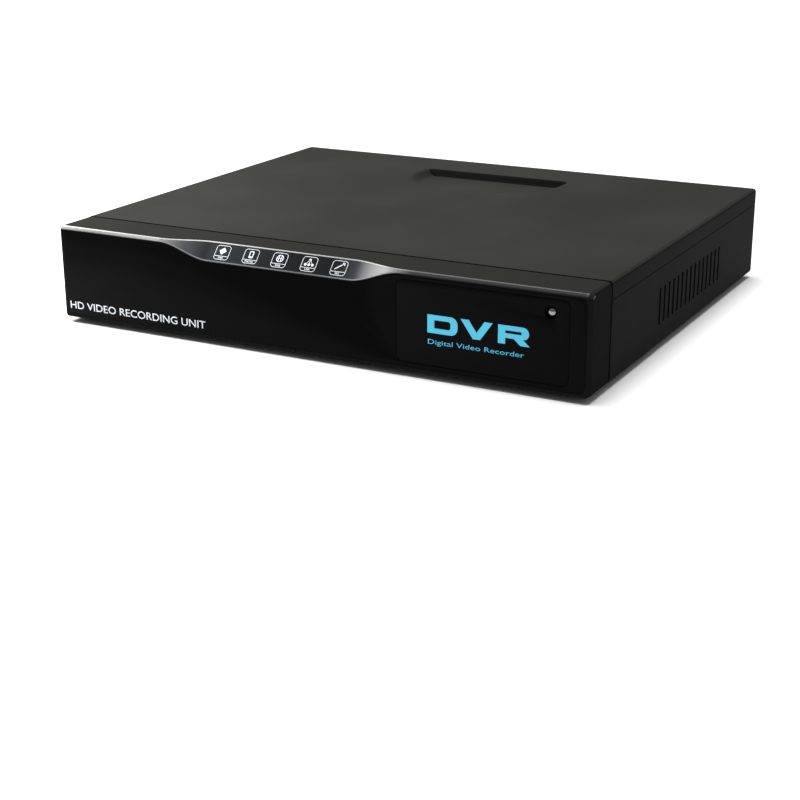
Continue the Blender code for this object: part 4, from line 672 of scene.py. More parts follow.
finish(piece, moulded("grey_insulator", "#96918a", "#857f78", 0.4))
tie(piece, "recorder", "ivory_plastic", "audio_out_insulator")
# A dark plug in the bore: a painted shade for the hole.
socket = turned("phono_out_bore_painted_shade", [(0, OUT_TIP - 5.9), (1.72, OUT_TIP - 5.9), (1.72, OUT_TIP - 2.2),
                                      (0, OUT_TIP - 2.2)], at, 24)
finish(socket, bore_painted_shade)
tie(socket, "recorder", "black_plastic")

IN_TIP = (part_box("audio_in_shell_1")[1].y - PANEL_Y) / MM
IN_SHELL = [(4.0, -6.0), (4.0, 1.8), (4.15, 2.0), (4.15, IN_TIP - 0.6), (4.0, IN_TIP - 0.15),
            (3.8, IN_TIP), (3.55, IN_TIP - 0.1), (3.45, IN_TIP - 0.5), (3.45, -6.0)]
IN_NOSE = [(0, -6.0), (3.25, -6.0), (3.25, IN_TIP - 0.9), (3.05, IN_TIP - 0.55), (2.05, IN_TIP - 0.55),
           (1.88, IN_TIP - 0.8), (1.88, IN_TIP - 6.0), (0, IN_TIP - 6.0)]
finish(NODES["audio_in_housing"], moulded("black_housing", "#101011", "#0a0a0b", 0.5))
for number in (1, 2, 3, 4):
    at = seat(f"audio_in_shell_{number}")
    sleeve = turned(f"phono_sleeve_{number}", IN_SHELL, at)
    finish(sleeve, bright_nickel)
    tie(sleeve, "recorder", "nickel", f"audio_in_shell_{number}")
    upper = number in (1, 3)
    nose = turned(f"phono_nose_{number}", IN_NOSE, at, 32)
    finish(nose, white_nose if upper else red_nose)
    tie(nose, "recorder", "white_plastic" if upper else "red_plastic", f"audio_in_insulator_{number}")
    # A dark red disc deep in the bore: a painted shade for the hole.
    back = turned(f"phono_bore_painted_shade_{number}", [(0, IN_TIP - 5.9), (1.8, IN_TIP - 5.9),
                                              (1.8, IN_TIP - 3.2), (0, IN_TIP - 3.2)], at, 24)
    finish(back, maroon_painted_shade)
    tie(back, "recorder", "black_plastic")

# ---- Monitor, digital video, network and USB sockets ------------------------------------------
# Drawn steel shells, tin plated, round moulded inserts. The network socket and two USB sockets
# share one folded shield, with a yellow and a green light pipe beside the latch.
tin = plated("tin_plated_shield", "#c9c8c4", "#aeaca6", 0.3)
screw_steel = plated("zinc_plated_steel", "#a19e97", "#716d66", 0.26)
for name in ("vga_shell", "hdmi_shell", "power_pin"):
    finish(NODES[name], bright_nickel)


def take_away(piece, cutter):
    """Cuts one piece's shape out of another and removes it."""
    cut = piece.modifiers.new("cut", "BOOLEAN")
    cut.operation, cut.solver, cut.object = "DIFFERENCE", "EXACT", cutter
    bpy.context.view_layer.objects.active = piece
    bpy.ops.object.modifier_apply(modifier=cut.name)
    bpy.data.meshes.remove(cutter.data)


def along_y(radius, y0, y1, centre, sides):
    """A cylinder or a prism along Y, in mm from a centre given in metres."""
    bpy.ops.mesh.primitive_cylinder_add(vertices=sides, radius=radius * MM, depth=(y1 - y0) * MM)
    piece = bpy.context.object
    way = Matrix.Translation(Vector(centre) + Vector((0, (y0 + y1) / 2, 0)) * MM)
    piece.data.transform(way @ Matrix.Rotation(math.pi / 2, 4, "X"))
    return piece


POST_TIP = (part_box("vga_post_left")[1].y - PANEL_Y) / MM
POST_BORE = 1.3
THREAD = [(POST_BORE - 0.08 - 0.2 * (i % 2), POST_TIP - 0.35 - 0.22 * i) for i in range(13)]
for side in ("left", "right"):
    at = seat("vga_post_" + side)
    nut = along_y(2.65, 0.7, POST_TIP, at, 6)
    bpy.ops.object.mode_set(mode="EDIT")
    bpy.ops.mesh.bevel(offset=0.22 * MM, segments=2)
    bpy.ops.object.mode_set(mode="OBJECT")
    take_away(nut, along_y(POST_BORE, 1.2, POST_TIP + 1, at, 24))
    collar = turned("collar", [(0, -3.0), (1.5, -3.0), (1.5, 0.1), (2.7, 0.1), (2.7, 0.55), (2.5, 0.75),
                               (0, 0.75)], at, 32)
    post = join("jack_post_" + side, [nut, collar])
    bpy.ops.object.shade_smooth_by_angle(angle=math.radians(30))
    finish(post, screw_steel)
    tie(post, "recorder", "nickel", "vga_post_" + side)
    thread = turned("jack_thread_" + side, [(0, 1.25), (POST_BORE - 0.02, 1.25),
                                            (POST_BORE - 0.02, POST_TIP - 0.3), *THREAD, (0, 1.6)], at, 24)
    # Much darker than the post's own plating: a painted shade in the threaded bore.
    finish(thread, plated(f"thread_painted_shade_{side}", "#4c4a47", "#2d2c2a", 0.35))
    tie(thread, "recorder", "nickel")
finish(NODES["lan_usb_shield"], tin)
finish(NODES["vga_insert"], moulded("blue_insert", "#1f5295", "#1a4783", 0.4))
black_insert = moulded("black_insert", "#121213", "#0b0b0c", 0.45)
for name in ("lan_usb_insert", "power_jack"):
    finish(NODES[name], black_insert)
finish(NODES["hdmi_insert"], moulded("charcoal_insert", "#3a3a3c", "#2c2c2e", 0.4))
lan_low, lan_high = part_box("lan_usb_shield")
LAN_MID = (lan_low.x + lan_high.x) / 2
PIPE_Z = 37.5 * MM
for name, side, light, dark in (("yellow", 1, "#b4b42a", "#98981c"), ("green", -1, "#4f9e4a", "#3a8236")):
    x = LAN_MID + side * 5.7 * MM
    low = (x - 1.6 * MM, lan_high.y - 0.55 * MM, PIPE_Z - 0.9 * MM)
    high = (x + 1.6 * MM, lan_high.y - 0.05 * MM, PIPE_Z + 0.9 * MM)
    pipe = block(f"{name}_light_pipe", low, high, 0.15)
    finish(pipe, moulded(f"{name}_clear_acrylic", light, dark, 0.2, Coat_Weight=0.5))
    tie(pipe, "recorder", "green_plastic")
gold = plated("gold_flash", "#d8b25a", "#b48a3c", 0.2)
contacts = []
for i in range(8):
    x = LAN_MID + (i - 3.5) * 1.02 * MM
    contacts.append(block("contact", (x - 0.2 * MM, lan_high.y - 9 * MM, 28.55 * MM),
                          (x + 0.2 * MM, lan_high.y - 2 * MM, 28.95 * MM), 0.05))
piece = join("network_contacts", contacts)
finish(piece, gold)
tie(piece, "recorder", "nickel")

# ---- Power jack, terminal header and its plug ---------------------------------------------------
# The plug is moulded in bright green polyamide and pulls straight out. Its wires enter in front
# and two slotted screws clamp them from above.
green = moulded("green_polyamide", "#57974a", "#4c8a40", 0.45)
for name in ("terminal_header", "terminal_plug"):
    finish(NODES[name], green)
for number in (1, 2):
    finish(NODES[f"clamp_screw_{number}"], bright_nickel)

# ---- Top cover ---------------------------------------------------------------------------------
# The same steel as the chassis, folded down at both sides and at the rear. The finger scoop is
# pressed in: its curved edge is drawn over 5 mm, and its straight rear wall is almost upright.
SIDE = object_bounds()[1][0] / MM
SCOOP_R = 40.2
SCOOP_MID = 68.5
SCOOP_WALL = 77.5
SCOOP_DEPTH = 3.7
SCOOP_DRAW = 5.0
WALL_DRAW = 1.2
# Light specks along the cover's rear fold: a painted highlight of the fold's edge.
fold_highlight_from = (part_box("top_cover")[1].z - 0.7 * MM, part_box("top_cover")[1].y - 1.0 * MM)
cover_coat = powder_coat("cover_powder_coat", "#2f2f2e", "#2a2a29", 0.42, 0.006, fold_highlight_from)
COVER_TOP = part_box("top_cover")[1].z
COVER_UNDER = COVER_TOP - 0.8 * MM


def flatten(piece):
    """Lets the large faces keep their own flat shading, so only the narrow ones round off."""
    weighted = piece.modifiers.new("weighted", "WEIGHTED_NORMAL")
    weighted.keep_sharp = True
    bpy.context.view_layer.objects.active = piece
    bpy.ops.object.modifier_apply(modifier=weighted.name)


def ease(x, start, end):
    """Rises smoothly from 0 at start to 1 at end."""
    t = min(1.0, max(0.0, (x - start) / (end - start)))
    return t * t * (3 - 2 * t)


def scoop_depth(x, y):
    """How deep the scoop is at a place on the cover, in mm."""
    within = SCOOP_R - (math.hypot(x, y - SCOOP_MID) if y < SCOOP_MID else abs(x))
    ramp = (y - SCOOP_MID + SCOOP_R) / (SCOOP_WALL - SCOOP_MID + SCOOP_R)
    return SCOOP_DEPTH * max(0.0, ramp) * ease(within, 0, SCOOP_DRAW) * ease(SCOOP_WALL - y, 0, WALL_DRAW)


def on_top(face):
    """Whether a face lies flat on the upper or the lower side of the cover's top sheet."""
    return any(all(abs(v.co.z - z) < 0.01 * MM for v in face.verts) for z in (COVER_TOP, COVER_UNDER))


cover = bpy.data.objects.new("pressed_cover", NODES["top_cover"].data.copy())
bpy.context.scene.collection.objects.link(cover)
shape = bmesh.new()
shape.from_mesh(cover.data)
bmesh.ops.remove_doubles(shape, verts=shape.verts, dist=0.005 * MM)
plain = [face for face in shape.faces if not on_top(face) and all(
    abs(v.co.x) < (SCOOP_R + 1) * MM and 0 < v.co.y < (SCOOP_WALL + 1) * MM for v in face.verts)]
bmesh.ops.delete(shape, geom=plain, context="FACES")
bmesh.ops.holes_fill(shape, edges=[e for e in shape.edges if e.is_boundary], sides=0)
bmesh.ops.dissolve_limit(shape, angle_limit=math.radians(1), verts=shape.verts, edges=shape.edges)


def cut_sheet(x=None, y=None, half_width=SIDE, y_from=-SIDE, y_to=SIDE):
    """Cuts the top sheet's faces along x or y, in mm, where their middles lie within bounds."""
    faces = []
    for face in shape.faces:
        at = face.calc_center_median() / MM
        if on_top(face) and abs(at.x) < half_width and y_from < at.y < y_to:
            faces.append(face)
    geom = faces + list({e for face in faces for e in face.edges}) + list({v for face in faces for v in face.verts})
    spot, across = ((x * MM, 0, 0), (1, 0, 0)) if y is None else ((0, y * MM, 0), (0, 1, 0))
    bmesh.ops.bisect_plane(shape, geom=geom, plane_co=spot, plane_no=across)


# A narrow border keeps the rounding of the folds off the flat sheet. The grid is only round the scoop.
GRID_HALF, GRID_FROM, GRID_TO = 44.0, 25.0, 80.0
for x in (-125.6, 125.6):
    cut_sheet(x=x)
for y in (101.6, GRID_FROM, GRID_TO):
    cut_sheet(y=y)
for x in (-GRID_HALF, GRID_HALF):
    cut_sheet(x=x, y_from=GRID_FROM, y_to=GRID_TO)
across = [sign * (43 - 0.75 * i) for i in range(13) for sign in (-1, 1)] + [2.0 * i for i in range(-16, 17)]
along = [26 + 1.5 * i for i in range(32)] + [73.5 + 0.5 * i for i in range(7)]
along += [SCOOP_WALL - WALL_DRAW * i / 5 for i in range(6)]
for x in across:
    cut_sheet(x=x, half_width=GRID_HALF, y_from=GRID_FROM, y_to=GRID_TO)
for y in along:
    cut_sheet(y=y, half_width=GRID_HALF, y_from=GRID_FROM, y_to=GRID_TO)
bmesh.ops.dissolve_degenerate(shape, dist=0.004 * MM, edges=shape.edges)
for vert in shape.verts:
    if vert.co.z > COVER_TOP - 1.2 * MM:
        vert.co.z -= scoop_depth(vert.co.x / MM, vert.co.y / MM) * MM
bmesh.ops.recalc_face_normals(shape, faces=shape.faces)
shape.to_mesh(cover.data)
shape.free()
finish(cover, cover_coat, black_coat_painted_shade)
# Steep faces, the folds, the lips and the scoop's rear wall, take the darker coat as a painted shade; the flat faces
# keep the lighter one.
for face in cover.data.polygons:
    at = face.center / MM
    in_wall = abs(at.x) < SCOOP_R and SCOOP_WALL - WALL_DRAW < at.y < SCOOP_WALL
    face.material_index = int(abs(face.normal.z) < (0.7 if in_wall else 0.35))
bpy.ops.object.select_all(action="DESELECT")
cover.select_set(True)
bpy.context.view_layer.objects.active = cover
bpy.ops.object.shade_smooth_by_angle(angle=math.radians(35))
flatten(cover)
tie(cover, "recorder", "black_steel", "top_cover")

# ---- Screws ----------------------------------------------------------------------------------
# Pan-head machine screws with a cross recess: black zinc on the case, nickel on the panel.
black_zinc = plated("black_zinc_plate", "#232325", "#151516", 0.25)
for name in ("cover_screw_left", "cover_screw_right", "side_screw_left", "side_screw_right"):
    finish(NODES[name], black_zinc)
for name in ("ground_screw", "video_block_screw", "audio_block_screw"):
    finish(NODES[name], screw_steel)

# ---- Front bezel -----------------------------------------------------------------------------
# One injection moulding in black ABS. Its upper front edge is a narrow chamfer, which opens
# over the left half into a sloping window. A bright line along its upper edge and a dull one along its lower edge are
# painted highlights, and their tone along the front is painted light.
bezel_low, bezel_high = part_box("front_bezel")
BASE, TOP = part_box("chassis")[0].z / MM, bezel_high.z / MM
FRONT = bezel_low.y / MM
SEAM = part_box("top_cover")[0].y / MM - 0.45
EDGE = 1.3
WINDOW_DROP = 5.8
WINDOW_SETBACK = 5.2
WINDOW_RISE = (-72.0, -48.0)
WINDOW_FALL = (21.5, 45.5)
WINDOW_RUN = [WINDOW_RISE[0] - 2.0 + i for i in range(123)]
CORNER_R = 2.4
ROUND_R = 0.9
FASCIA_SIDE = SIDE - 1.7
FASCIA_LOW = BASE + 1.6
FASCIA_DEPTH = 1.2
FASCIA_CORNER = 2.4
LINE_W = 0.5
PANE_T = 0.5
RELIEF = 1.0  # chamfer that shows the seam behind the bezel as a dark line
WALL = 2.2


def window(x):
    return ease(x, *WINDOW_RISE) * (1 - ease(x, *WINDOW_FALL))


def foot(x):
    """The sloping face's lower edge, as (y, z)."""
    return Vector((FRONT, TOP - EDGE - WINDOW_DROP * window(x)))


def head(x):
    """The sloping face's upper edge, as (y, z)."""
    return Vector((FRONT + EDGE + WINDOW_SETBACK * window(x), TOP))


def fascia_span(x, grow):
    """The glossy plate's lowest and highest z at x, with its four round corners."""
    into = max(0.0, abs(x) - (FASCIA_SIDE - FASCIA_CORNER))
    drop = FASCIA_CORNER - math.sqrt(max(0.0, FASCIA_CORNER**2 - into**2))
    return FASCIA_LOW + drop - grow, foot(x).y - 0.7 - drop + grow


def bezel_outline(x, plate, pane):
    """The bezel's outer skin at x, from its lower rear edge round the front to its upper one."""
    into = max(0.0, abs(x) - (SIDE - CORNER_R))
    inset = CORNER_R - math.sqrt(max(0.0, CORNER_R**2 - into**2))
    front, bottom, top = FRONT + inset, BASE + inset * 0.6, TOP - inset * 0.6
    rear = SEAM - max(0.0, RELIEF - (SIDE - abs(x)))
    points = [(rear, bottom)]
    for step in range(6):
        turn = math.radians(90 * step / 5)
        points.append((front + ROUND_R * (1 - math.sin(turn)), bottom + ROUND_R * (1 - math.cos(turn))))
    low, high = fascia_span(x, 0.12)
    back = front + (FASCIA_DEPTH if plate else 0.0)
    points += [(front, low), (back, low), (back, high), (front, high)]
    lower, upper = foot(x) + Vector((inset, -inset * 0.4)), head(x) + Vector((inset, 0))
    upper.y = top
    along = (upper - lower).normalized()
    inward = Vector((along.y, -along.x)) * (PANE_T if pane else 0.0)
    start, end = lower + along * LINE_W, upper - along * LINE_W
    points += [lower + Vector((0, -0.12)), lower + along * 0.12, start, start + inward, end + inward]
    points += [end, upper - along * 0.1, upper + Vector((0.12, 0)), (rear - RELIEF, top), (rear, top - RELIEF)]
    roof, base = top - WALL, bottom + WALL
    inner = FRONT + FASCIA_DEPTH + WALL
    if abs(x) < FASCIA_SIDE - FASCIA_CORNER + 0.5:
        points += [(rear, roof), (max(inner, upper.x + 1.2), roof), (inner, lower.y - 1.6), (inner, base)]
    else:
        points += [(rear, roof), (rear, roof), (rear, base), (rear, base)]
    points.append((rear, base))
    return [Vector((x, y, z)) * MM for y, z in points]


def bezel_stations():
    """Places along x at which the skin is drawn, with what is let into it there."""
    inner = FASCIA_SIDE + 0.12
    left = [SIDE - CORNER_R + CORNER_R * math.sin(math.radians(a)) for a in (90, 72, 54, 36, 18, 0)]
    places = [(-x, False) for x in left if x > inner] + [(-inner, False)]
    corner = [FASCIA_SIDE - FASCIA_CORNER * (1 - math.sin(math.radians(a))) for a in (90, 70, 50, 30, 0)]
    places += [(-x, True) for x in [inner, *corner]]
    places += [(x, True) for x in [-110, -95, -82, *WINDOW_RUN, 56, 75, 95, 110]]
    places += [(x, True) for x in [*corner[::-1], inner]]
    places += [(inner, False)] + [(x, False) for x in left[::-1] if x > inner]
    return places


def sprayed(name, stops, rough, level):
    """A colour that changes along the front, painted light: highlights on the edge lines and
    reflections at the ends of the smoked face. A stop is a place along x, in mm, and a colour; fine noise blurs each
    change."""
    made, tree, shader, place = material(name, Specular_IOR_Level=level)
    fine_noise = node(tree, "TexNoise", {"Vector": place, "Scale": 1 / (0.25 * MM), "Detail": 2.0})
    split = node(tree, "SeparateXYZ", {"Vector": place})
    blur_offset = node(tree, "MapRange", {"Value": fine_noise.outputs["Fac"], "To Min": -2.0 * MM, "To Max": 2.0 * MM})
    spot = node(tree, "Math", {0: split.outputs["X"], 1: blur_offset.outputs["Result"]}, operation="ADD")
    along = node(tree, "MapRange", {"Value": spot.outputs[0], "From Min": -SIDE * MM,
                                    "From Max": SIDE * MM})
    tone = node(tree, "ValToRGB", {"Fac": along.outputs["Result"]})
    ramp = tone.color_ramp.elements
    for x, code in stops[1:-1]:
        ramp.new((x + SIDE) / (2 * SIDE))
    for element, (x, code) in zip(ramp, stops):
        element.position, element.color = (x + SIDE) / (2 * SIDE), rgb(code)
    relief = node(tree, "Bump", {"Height": fine_noise.outputs["Fac"], "Strength": 0.1, "Distance": 0.01 * MM})
    shine = node(tree, "MapRange", {"Value": fine_noise.outputs["Fac"], "To Min": rough - 0.05,
                                    "To Max": rough + 0.05})
    tree.links.new(tone.outputs["Color"], shader.inputs["Base Color"])
    tree.links.new(shine.outputs["Result"], shader.inputs["Roughness"])
    tree.links.new(relief.outputs["Normal"], shader.inputs["Normal"])
    return made


# The same ABS in a darker copy: a painted shade for the faces that do not look up.
abs_painted_shade = moulded("black_abs_painted_shade", "#1a1a1a", "#171717", 0.42, Specular_IOR_Level=0.001)
abs_black = moulded("textured_black_abs", "#272726", "#232322", 0.42, grit=0.5 * MM, bump=0.2,
                    Specular_IOR_Level=0.006)
# Painted highlights: the edge lines' tone along the front follows the light, brightest at the left.
UPPER_LINE_HIGHLIGHT_STOPS = ((-127, "#c6c2be"), (-100, "#96938f"), (-76, "#8a8784"), (-60, "#b2b0ae"),
                (10, "#969696"), (38, "#a0a0a0"), (52, "#58585a"), (95, "#48484a"), (118, "#3c3c3d"), (126, "#161616"))
LOWER_LINE_HIGHLIGHT_STOPS = ((-127, "#6a6866"), (-105, "#4c4b4a"), (-75, "#737272"), (-60, "#6c6d6f"), (0, "#5a5b5d"),
              (36, "#7c7c7c"), (43, "#6a6a6a"), (50, "#262627"), (118, "#161616"))
# The smoked face is lighter towards both ends: a painted reflection of the lamps.
SMOKE_REFLECTION_STOPS = ((-72, "#757575"), (-61, "#47484b"), (-50, "#1e1f22"), (-10, "#131416"), (14, "#151618"),
               (24, "#343538"), (32, "#7c7c7c"), (38, "#969696"), (45, "#6c6c6c"))
lower_line_painted_highlight = sprayed("grey_line_painted_highlight", LOWER_LINE_HIGHLIGHT_STOPS, 0.35, 0.2)
upper_line_painted_highlight = sprayed("silver_line_painted_highlight", UPPER_LINE_HIGHLIGHT_STOPS, 0.3, 0.3)
smoke = sprayed("smoked_lacquer_painted_reflection", SMOKE_REFLECTION_STOPS, 0.3, 0.05)

PANE_ENDS = (WINDOW_RISE[0] + 1.0, WINDOW_FALL[1] - 1.0)
sections = []
for x, plate in bezel_stations():
    sections.append(bezel_outline(x, plate, PANE_ENDS[0] <= x <= PANE_ENDS[1]))
count = len(sections[0])
points = [p for section in sections for p in section]
faces, tints = [], []
# Lines on the chamfer's edges take the painted highlights, and the sloping face takes the smoked lacquer, lighter at
# its ends as a painted reflection.
DULL, BRIGHT, SMOKE = 1, 2, 3
TINT = {11: DULL, 12: DULL, 16: BRIGHT, 17: BRIGHT}
for i in range(len(sections) - 1):
    for j in range(count):
        a, b = i * count + j, i * count + (j + 1) % count
        faces.append((a, a + count, b + count, b))
        open_here = PANE_ENDS[0] <= sections[i][0].x / MM < PANE_ENDS[1]
        tints.append((SMOKE if open_here else DULL) if j in (13, 14, 15) else TINT.get(j, 0))
faces += [tuple(range(count - 1, -1, -1)), tuple(range(len(points) - count, len(points)))]
tints += [0, 0]
mesh = bpy.data.meshes.new("front_moulding")
mesh.from_pydata(points, [], faces)
bezel = bpy.data.objects.new("front_moulding", mesh)
finish(bezel, abs_black, lower_line_painted_highlight, upper_line_painted_highlight, smoke, abs_painted_shade)
mesh.polygons.foreach_set("material_index", tints)
bpy.context.scene.collection.objects.link(bezel)
bpy.ops.object.select_all(action="DESELECT")
bezel.select_set(True)
bpy.context.view_layer.objects.active = bezel
bpy.ops.object.mode_set(mode="EDIT")
bpy.ops.mesh.select_all(action="SELECT")
bpy.ops.mesh.remove_doubles(threshold=0.004 * MM)
bpy.ops.mesh.dissolve_degenerate(threshold=0.002 * MM)
bpy.ops.mesh.select_all(action="SELECT")
bpy.ops.mesh.normals_make_consistent(inside=False)
bpy.ops.object.mode_set(mode="OBJECT")
# Faces that do not look up take the darker ABS: a painted shade.
for face in mesh.polygons:
    if face.material_index == 0 and face.normal.z < 0.7:
        face.material_index = 4
lens_low, lens_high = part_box("receiver_lens")
LENS_AT = ((lens_low.x + lens_high.x) / 2, lens_low.y, (lens_low.z + lens_high.z) / 2)
LENS_R = (lens_high.x - lens_low.x) / 2 / MM
take_away(bezel, along_y(LENS_R + 0.15, -2, 5, LENS_AT, 40))
bezel.select_set(True)
bpy.ops.object.shade_smooth_by_angle(angle=math.radians(32))
flatten(bezel)
tie(bezel, "recorder", "black_abs", "front_bezel")


# ---- Glossy front plate ------------------------------------------------------------------------
# A plate of piano-black acrylic let into the bezel, flush with its front. A fine groove marks
# off its right-hand field, and the receiver looks out through a round hole.
GROOVE = (43.6, 119.3, 6.2, 41.2)
PROUD = 0.06  # what the printing on the plate may stand out


def slab(name, outline, low, high, steps=1):
    """An upright slab from an outline in x and z, in mm, between two depths."""
    shape = bmesh.new()
    base = shape.faces.new([shape.verts.new((x * MM, low * MM, z * MM)) for x, z in outline])
    made = bmesh.ops.extrude_face_region(shape, geom=[base])["geom"]
    moved = [g for g in made if isinstance(g, bmesh.types.BMVert)]
    bmesh.ops.translate(shape, verts=moved, vec=(0, (high - low) * MM, 0))
    bmesh.ops.recalc_face_normals(shape, faces=shape.faces)
    mesh = bpy.data.meshes.new(name)
    shape.to_mesh(mesh)
    shape.free()
    piece = bpy.data.objects.new(name, mesh)
    bpy.context.scene.collection.objects.link(piece)
    bpy.ops.object.select_all(action="DESELECT")
    piece.select_set(True)
    bpy.context.view_layer.objects.active = piece
    return piece


def plate_outline():
    corner = [FASCIA_SIDE - FASCIA_CORNER * (1 - math.sin(math.radians(a))) for a in (88, 70, 54, 38, 20, 0)]
    xs = [-x for x in corner] + WINDOW_RUN + corner[::-1]
    lower = [(x, fascia_span(x, 0)[0]) for x in [-v for v in corner] + corner[::-1]]
    upper = [(x, fascia_span(x, 0)[1]) for x in xs[::-1]]
    return lower + upper


plate = slab("gloss_plate", plate_outline(), FRONT + PROUD, FRONT + FASCIA_DEPTH)
x0, x1, z0, z1 = GROOVE
groove = flat_plate((x0 + x1) / 2, (z0 + z1) / 2, x1 - x0, z1 - z0, corner=3.2, line=0.4)
solid = groove.modifiers.new("thickness", "SOLIDIFY")
solid.thickness, solid.offset = 2.0, 0.0
bpy.ops.object.modifier_apply(modifier=solid.name)
front_way = Matrix.Translation((0, (FRONT + PROUD) * MM, 0)) @ Matrix.Rotation(math.pi / 2, 4, "X")
front_way = front_way @ Matrix.Scale(MM, 4)
groove.data.transform(front_way @ Matrix.Translation((0, 0, 1.0 - 0.3)))
take_away(plate, groove)
take_away(plate, along_y(LENS_R + 0.2, -2, 5, LENS_AT, 40))
rim = plate.modifiers.new("rim", "BEVEL")
rim.width, rim.segments, rim.limit_method, rim.angle_limit = 0.08 * MM, 2, "ANGLE", math.radians(60)
bpy.context.view_layer.objects.active = plate
bpy.ops.object.modifier_apply(modifier=rim.name)
plate.select_set(True)
bpy.ops.object.shade_smooth_by_angle(angle=math.radians(30))
acrylic, tree, shader, place = material("piano_black_acrylic", Specular_IOR_Level=0.02)
haze = node(tree, "TexNoise", {"Vector": place, "Scale": 1 / (25 * MM), "Detail": 4.0})
tone = node(tree, "ValToRGB", {"Fac": haze.outputs["Fac"]})
tone.color_ramp.elements[0].color, tone.color_ramp.elements[1].color = rgb("#080808"), rgb("#0b0b0b")
shine = node(tree, "MapRange", {"Value": haze.outputs["Fac"], "To Min": 0.1, "To Max": 0.16})
tree.links.new(tone.outputs["Color"], shader.inputs["Base Color"])
tree.links.new(shine.outputs["Result"], shader.inputs["Roughness"])
finish(plate, acrylic)
tie(plate, "recorder", "gloss_black", "front_fascia")

# ---- Indicator window --------------------------------------------------------------------------
# A smoked strip let into the sloping face, with the five indicators' signs printed on it.
xs = [PANE_ENDS[0] + (PANE_ENDS[1] - PANE_ENDS[0]) * i / 114 for i in range(115)]
points, faces = [], []
for x in xs:
    lower, upper = foot(x), head(x)
    along = (upper - lower).normalized()
    inward = Vector((along.y, -along.x))
    start, end = lower + along * (LINE_W + 0.05), upper - along * (LINE_W + 0.05)
    for spot in (start, end, end + inward * (PANE_T - 0.05), start + inward * (PANE_T - 0.05)):
        points.append(Vector((x, spot.x, spot.y)) * MM)
for i in range(len(xs) - 1):
    for j in range(4):
        a, b = i * 4 + j, i * 4 + (j + 1) % 4
        faces.append((a, a + 4, b + 4, b))
faces += [(0, 1, 2, 3), tuple(len(points) - k for k in (1, 2, 3, 4))]
mesh = bpy.data.meshes.new("indicator_pane")
mesh.from_pydata(points, [], faces)
pane = bpy.data.objects.new("indicator_pane", mesh)
bpy.context.scene.collection.objects.link(pane)
bpy.ops.object.select_all(action="DESELECT")
pane.select_set(True)
bpy.context.view_layer.objects.active = pane
bpy.ops.object.mode_set(mode="EDIT")
bpy.ops.mesh.select_all(action="SELECT")
bpy.ops.mesh.normals_make_consistent(inside=False)
bpy.ops.object.mode_set(mode="OBJECT")
bpy.ops.object.shade_smooth_by_angle(angle=math.radians(30))
# Smoked pane, lighter towards both ends: a painted reflection.
finish(pane, smoke)
tie(pane, "recorder", "smoke_grey", "indicator_strip")

SIGN_X = (-41.6, -27.3, -13.1, 1.3, 15.6)
SIGN_W, SIGN_H = 7.2, 6.9
slope = math.atan2(EDGE + WINDOW_DROP, EDGE + WINDOW_SETBACK)
pane_mid = (foot(-15) + head(-15)) / 2
sign_way = Matrix.Translation(Vector((0, pane_mid.x, pane_mid.y)) * MM) @ Matrix.Rotation(slope, 4, "X")
sign_way = sign_way @ Matrix.Scale(MM, 4)


def sign_frame(x, word):
    """The outline that all five signs share, with its divider and its small caption."""
    parts = [flat_plate(x, 0, SIGN_W, SIGN_H, corner=1.4, line=0.21)]
    parts.append(flat_bar(x - SIGN_W / 2, -1.7, x + SIGN_W / 2, -1.7, 0.22))
    parts.append(flat_text(word, x, -2.5, 0.85, bold=0.02))
    return parts


signs = []
for x, word in zip(SIGN_X, ("DISK", "PHONE", "WEB", "LINK", "REC")):
    signs += sign_frame(x, word)
x = SIGN_X[0]
signs.append(flat_plate(x, 0.75, 2.7, 2.3, corner=0.3, turn=38))
x = SIGN_X[1]
signs += [flat_plate(x, 0.8, 2.1, 3.3, corner=0.4, line=0.42), flat_bar(x - 0.5, -0.15, x + 0.5, -0.15, 0.3)]
x = SIGN_X[2]
signs += [flat_disc(x, 0.8, 1.75, line=0.36), flat_plate(x, 0.8, 1.5, 3.4, corner=0.74, line=0.3),
          flat_bar(x - 1.7, 0.8, x + 1.7, 0.8, 0.3)]
x = SIGN_X[3]
for dx, dy in ((0, 1.9), (-1.7, -0.3), (0, -0.3), (1.7, -0.3)):
    signs.append(flat_disc(x + dx, dy, 0.62))
    signs.append(flat_bar(x + dx, dy, x, 2.0, 0.2))
x = SIGN_X[4]
signs += [flat_bar(x - 1.9, -0.7, x + 1.2, 1.7, 0.42), flat_bar(x + 1.0, 2.4, x + 2.1, 2.4, 0.3),
          flat_bar(x + 2.1, 2.4, x + 2.1, 1.3, 0.3), flat_bar(x + 1.0, 1.4, x + 2.1, 2.4, 0.3)]
signs = printed("indicator_signs", signs, sign_way, 0.03)
white_ink = ink("pale_screen_ink", "#dde2e8", 0.4)
finish(signs, white_ink)
tie(signs, "recorder", "white_plastic")

# ---- Printing on the front ------------------------------------------------------------------
# One line of white capitals at lower left, and the kind of device in blue at the right.
words = flat_text("HD VIDEO RECORDING UNIT", -86.8, 8.55, 3.35, 73.6, bold=0.02)
words = printed("front_words", [words], front_way, 0.05)
finish(words, white_ink)
tie(words, "recorder", "white_plastic")


def softened(corners):
    """An outline of (x, y, radius) corners, in mm, each right angle rounded to its radius."""
    points = []
    for i, (x, y, radius) in enumerate(corners):
        here = Vector((x, y))
        back = (Vector(corners[i - 1][:2]) - here).normalized()
        ahead = (Vector(corners[(i + 1) % len(corners)][:2]) - here).normalized()
        hub = here + (back + ahead) * radius
        for step in range(7 if radius else 1):
            turn = math.pi / 2 * step / 6
            points.append(hub - radius * (ahead * math.cos(turn) + back * math.sin(turn)))
    return points


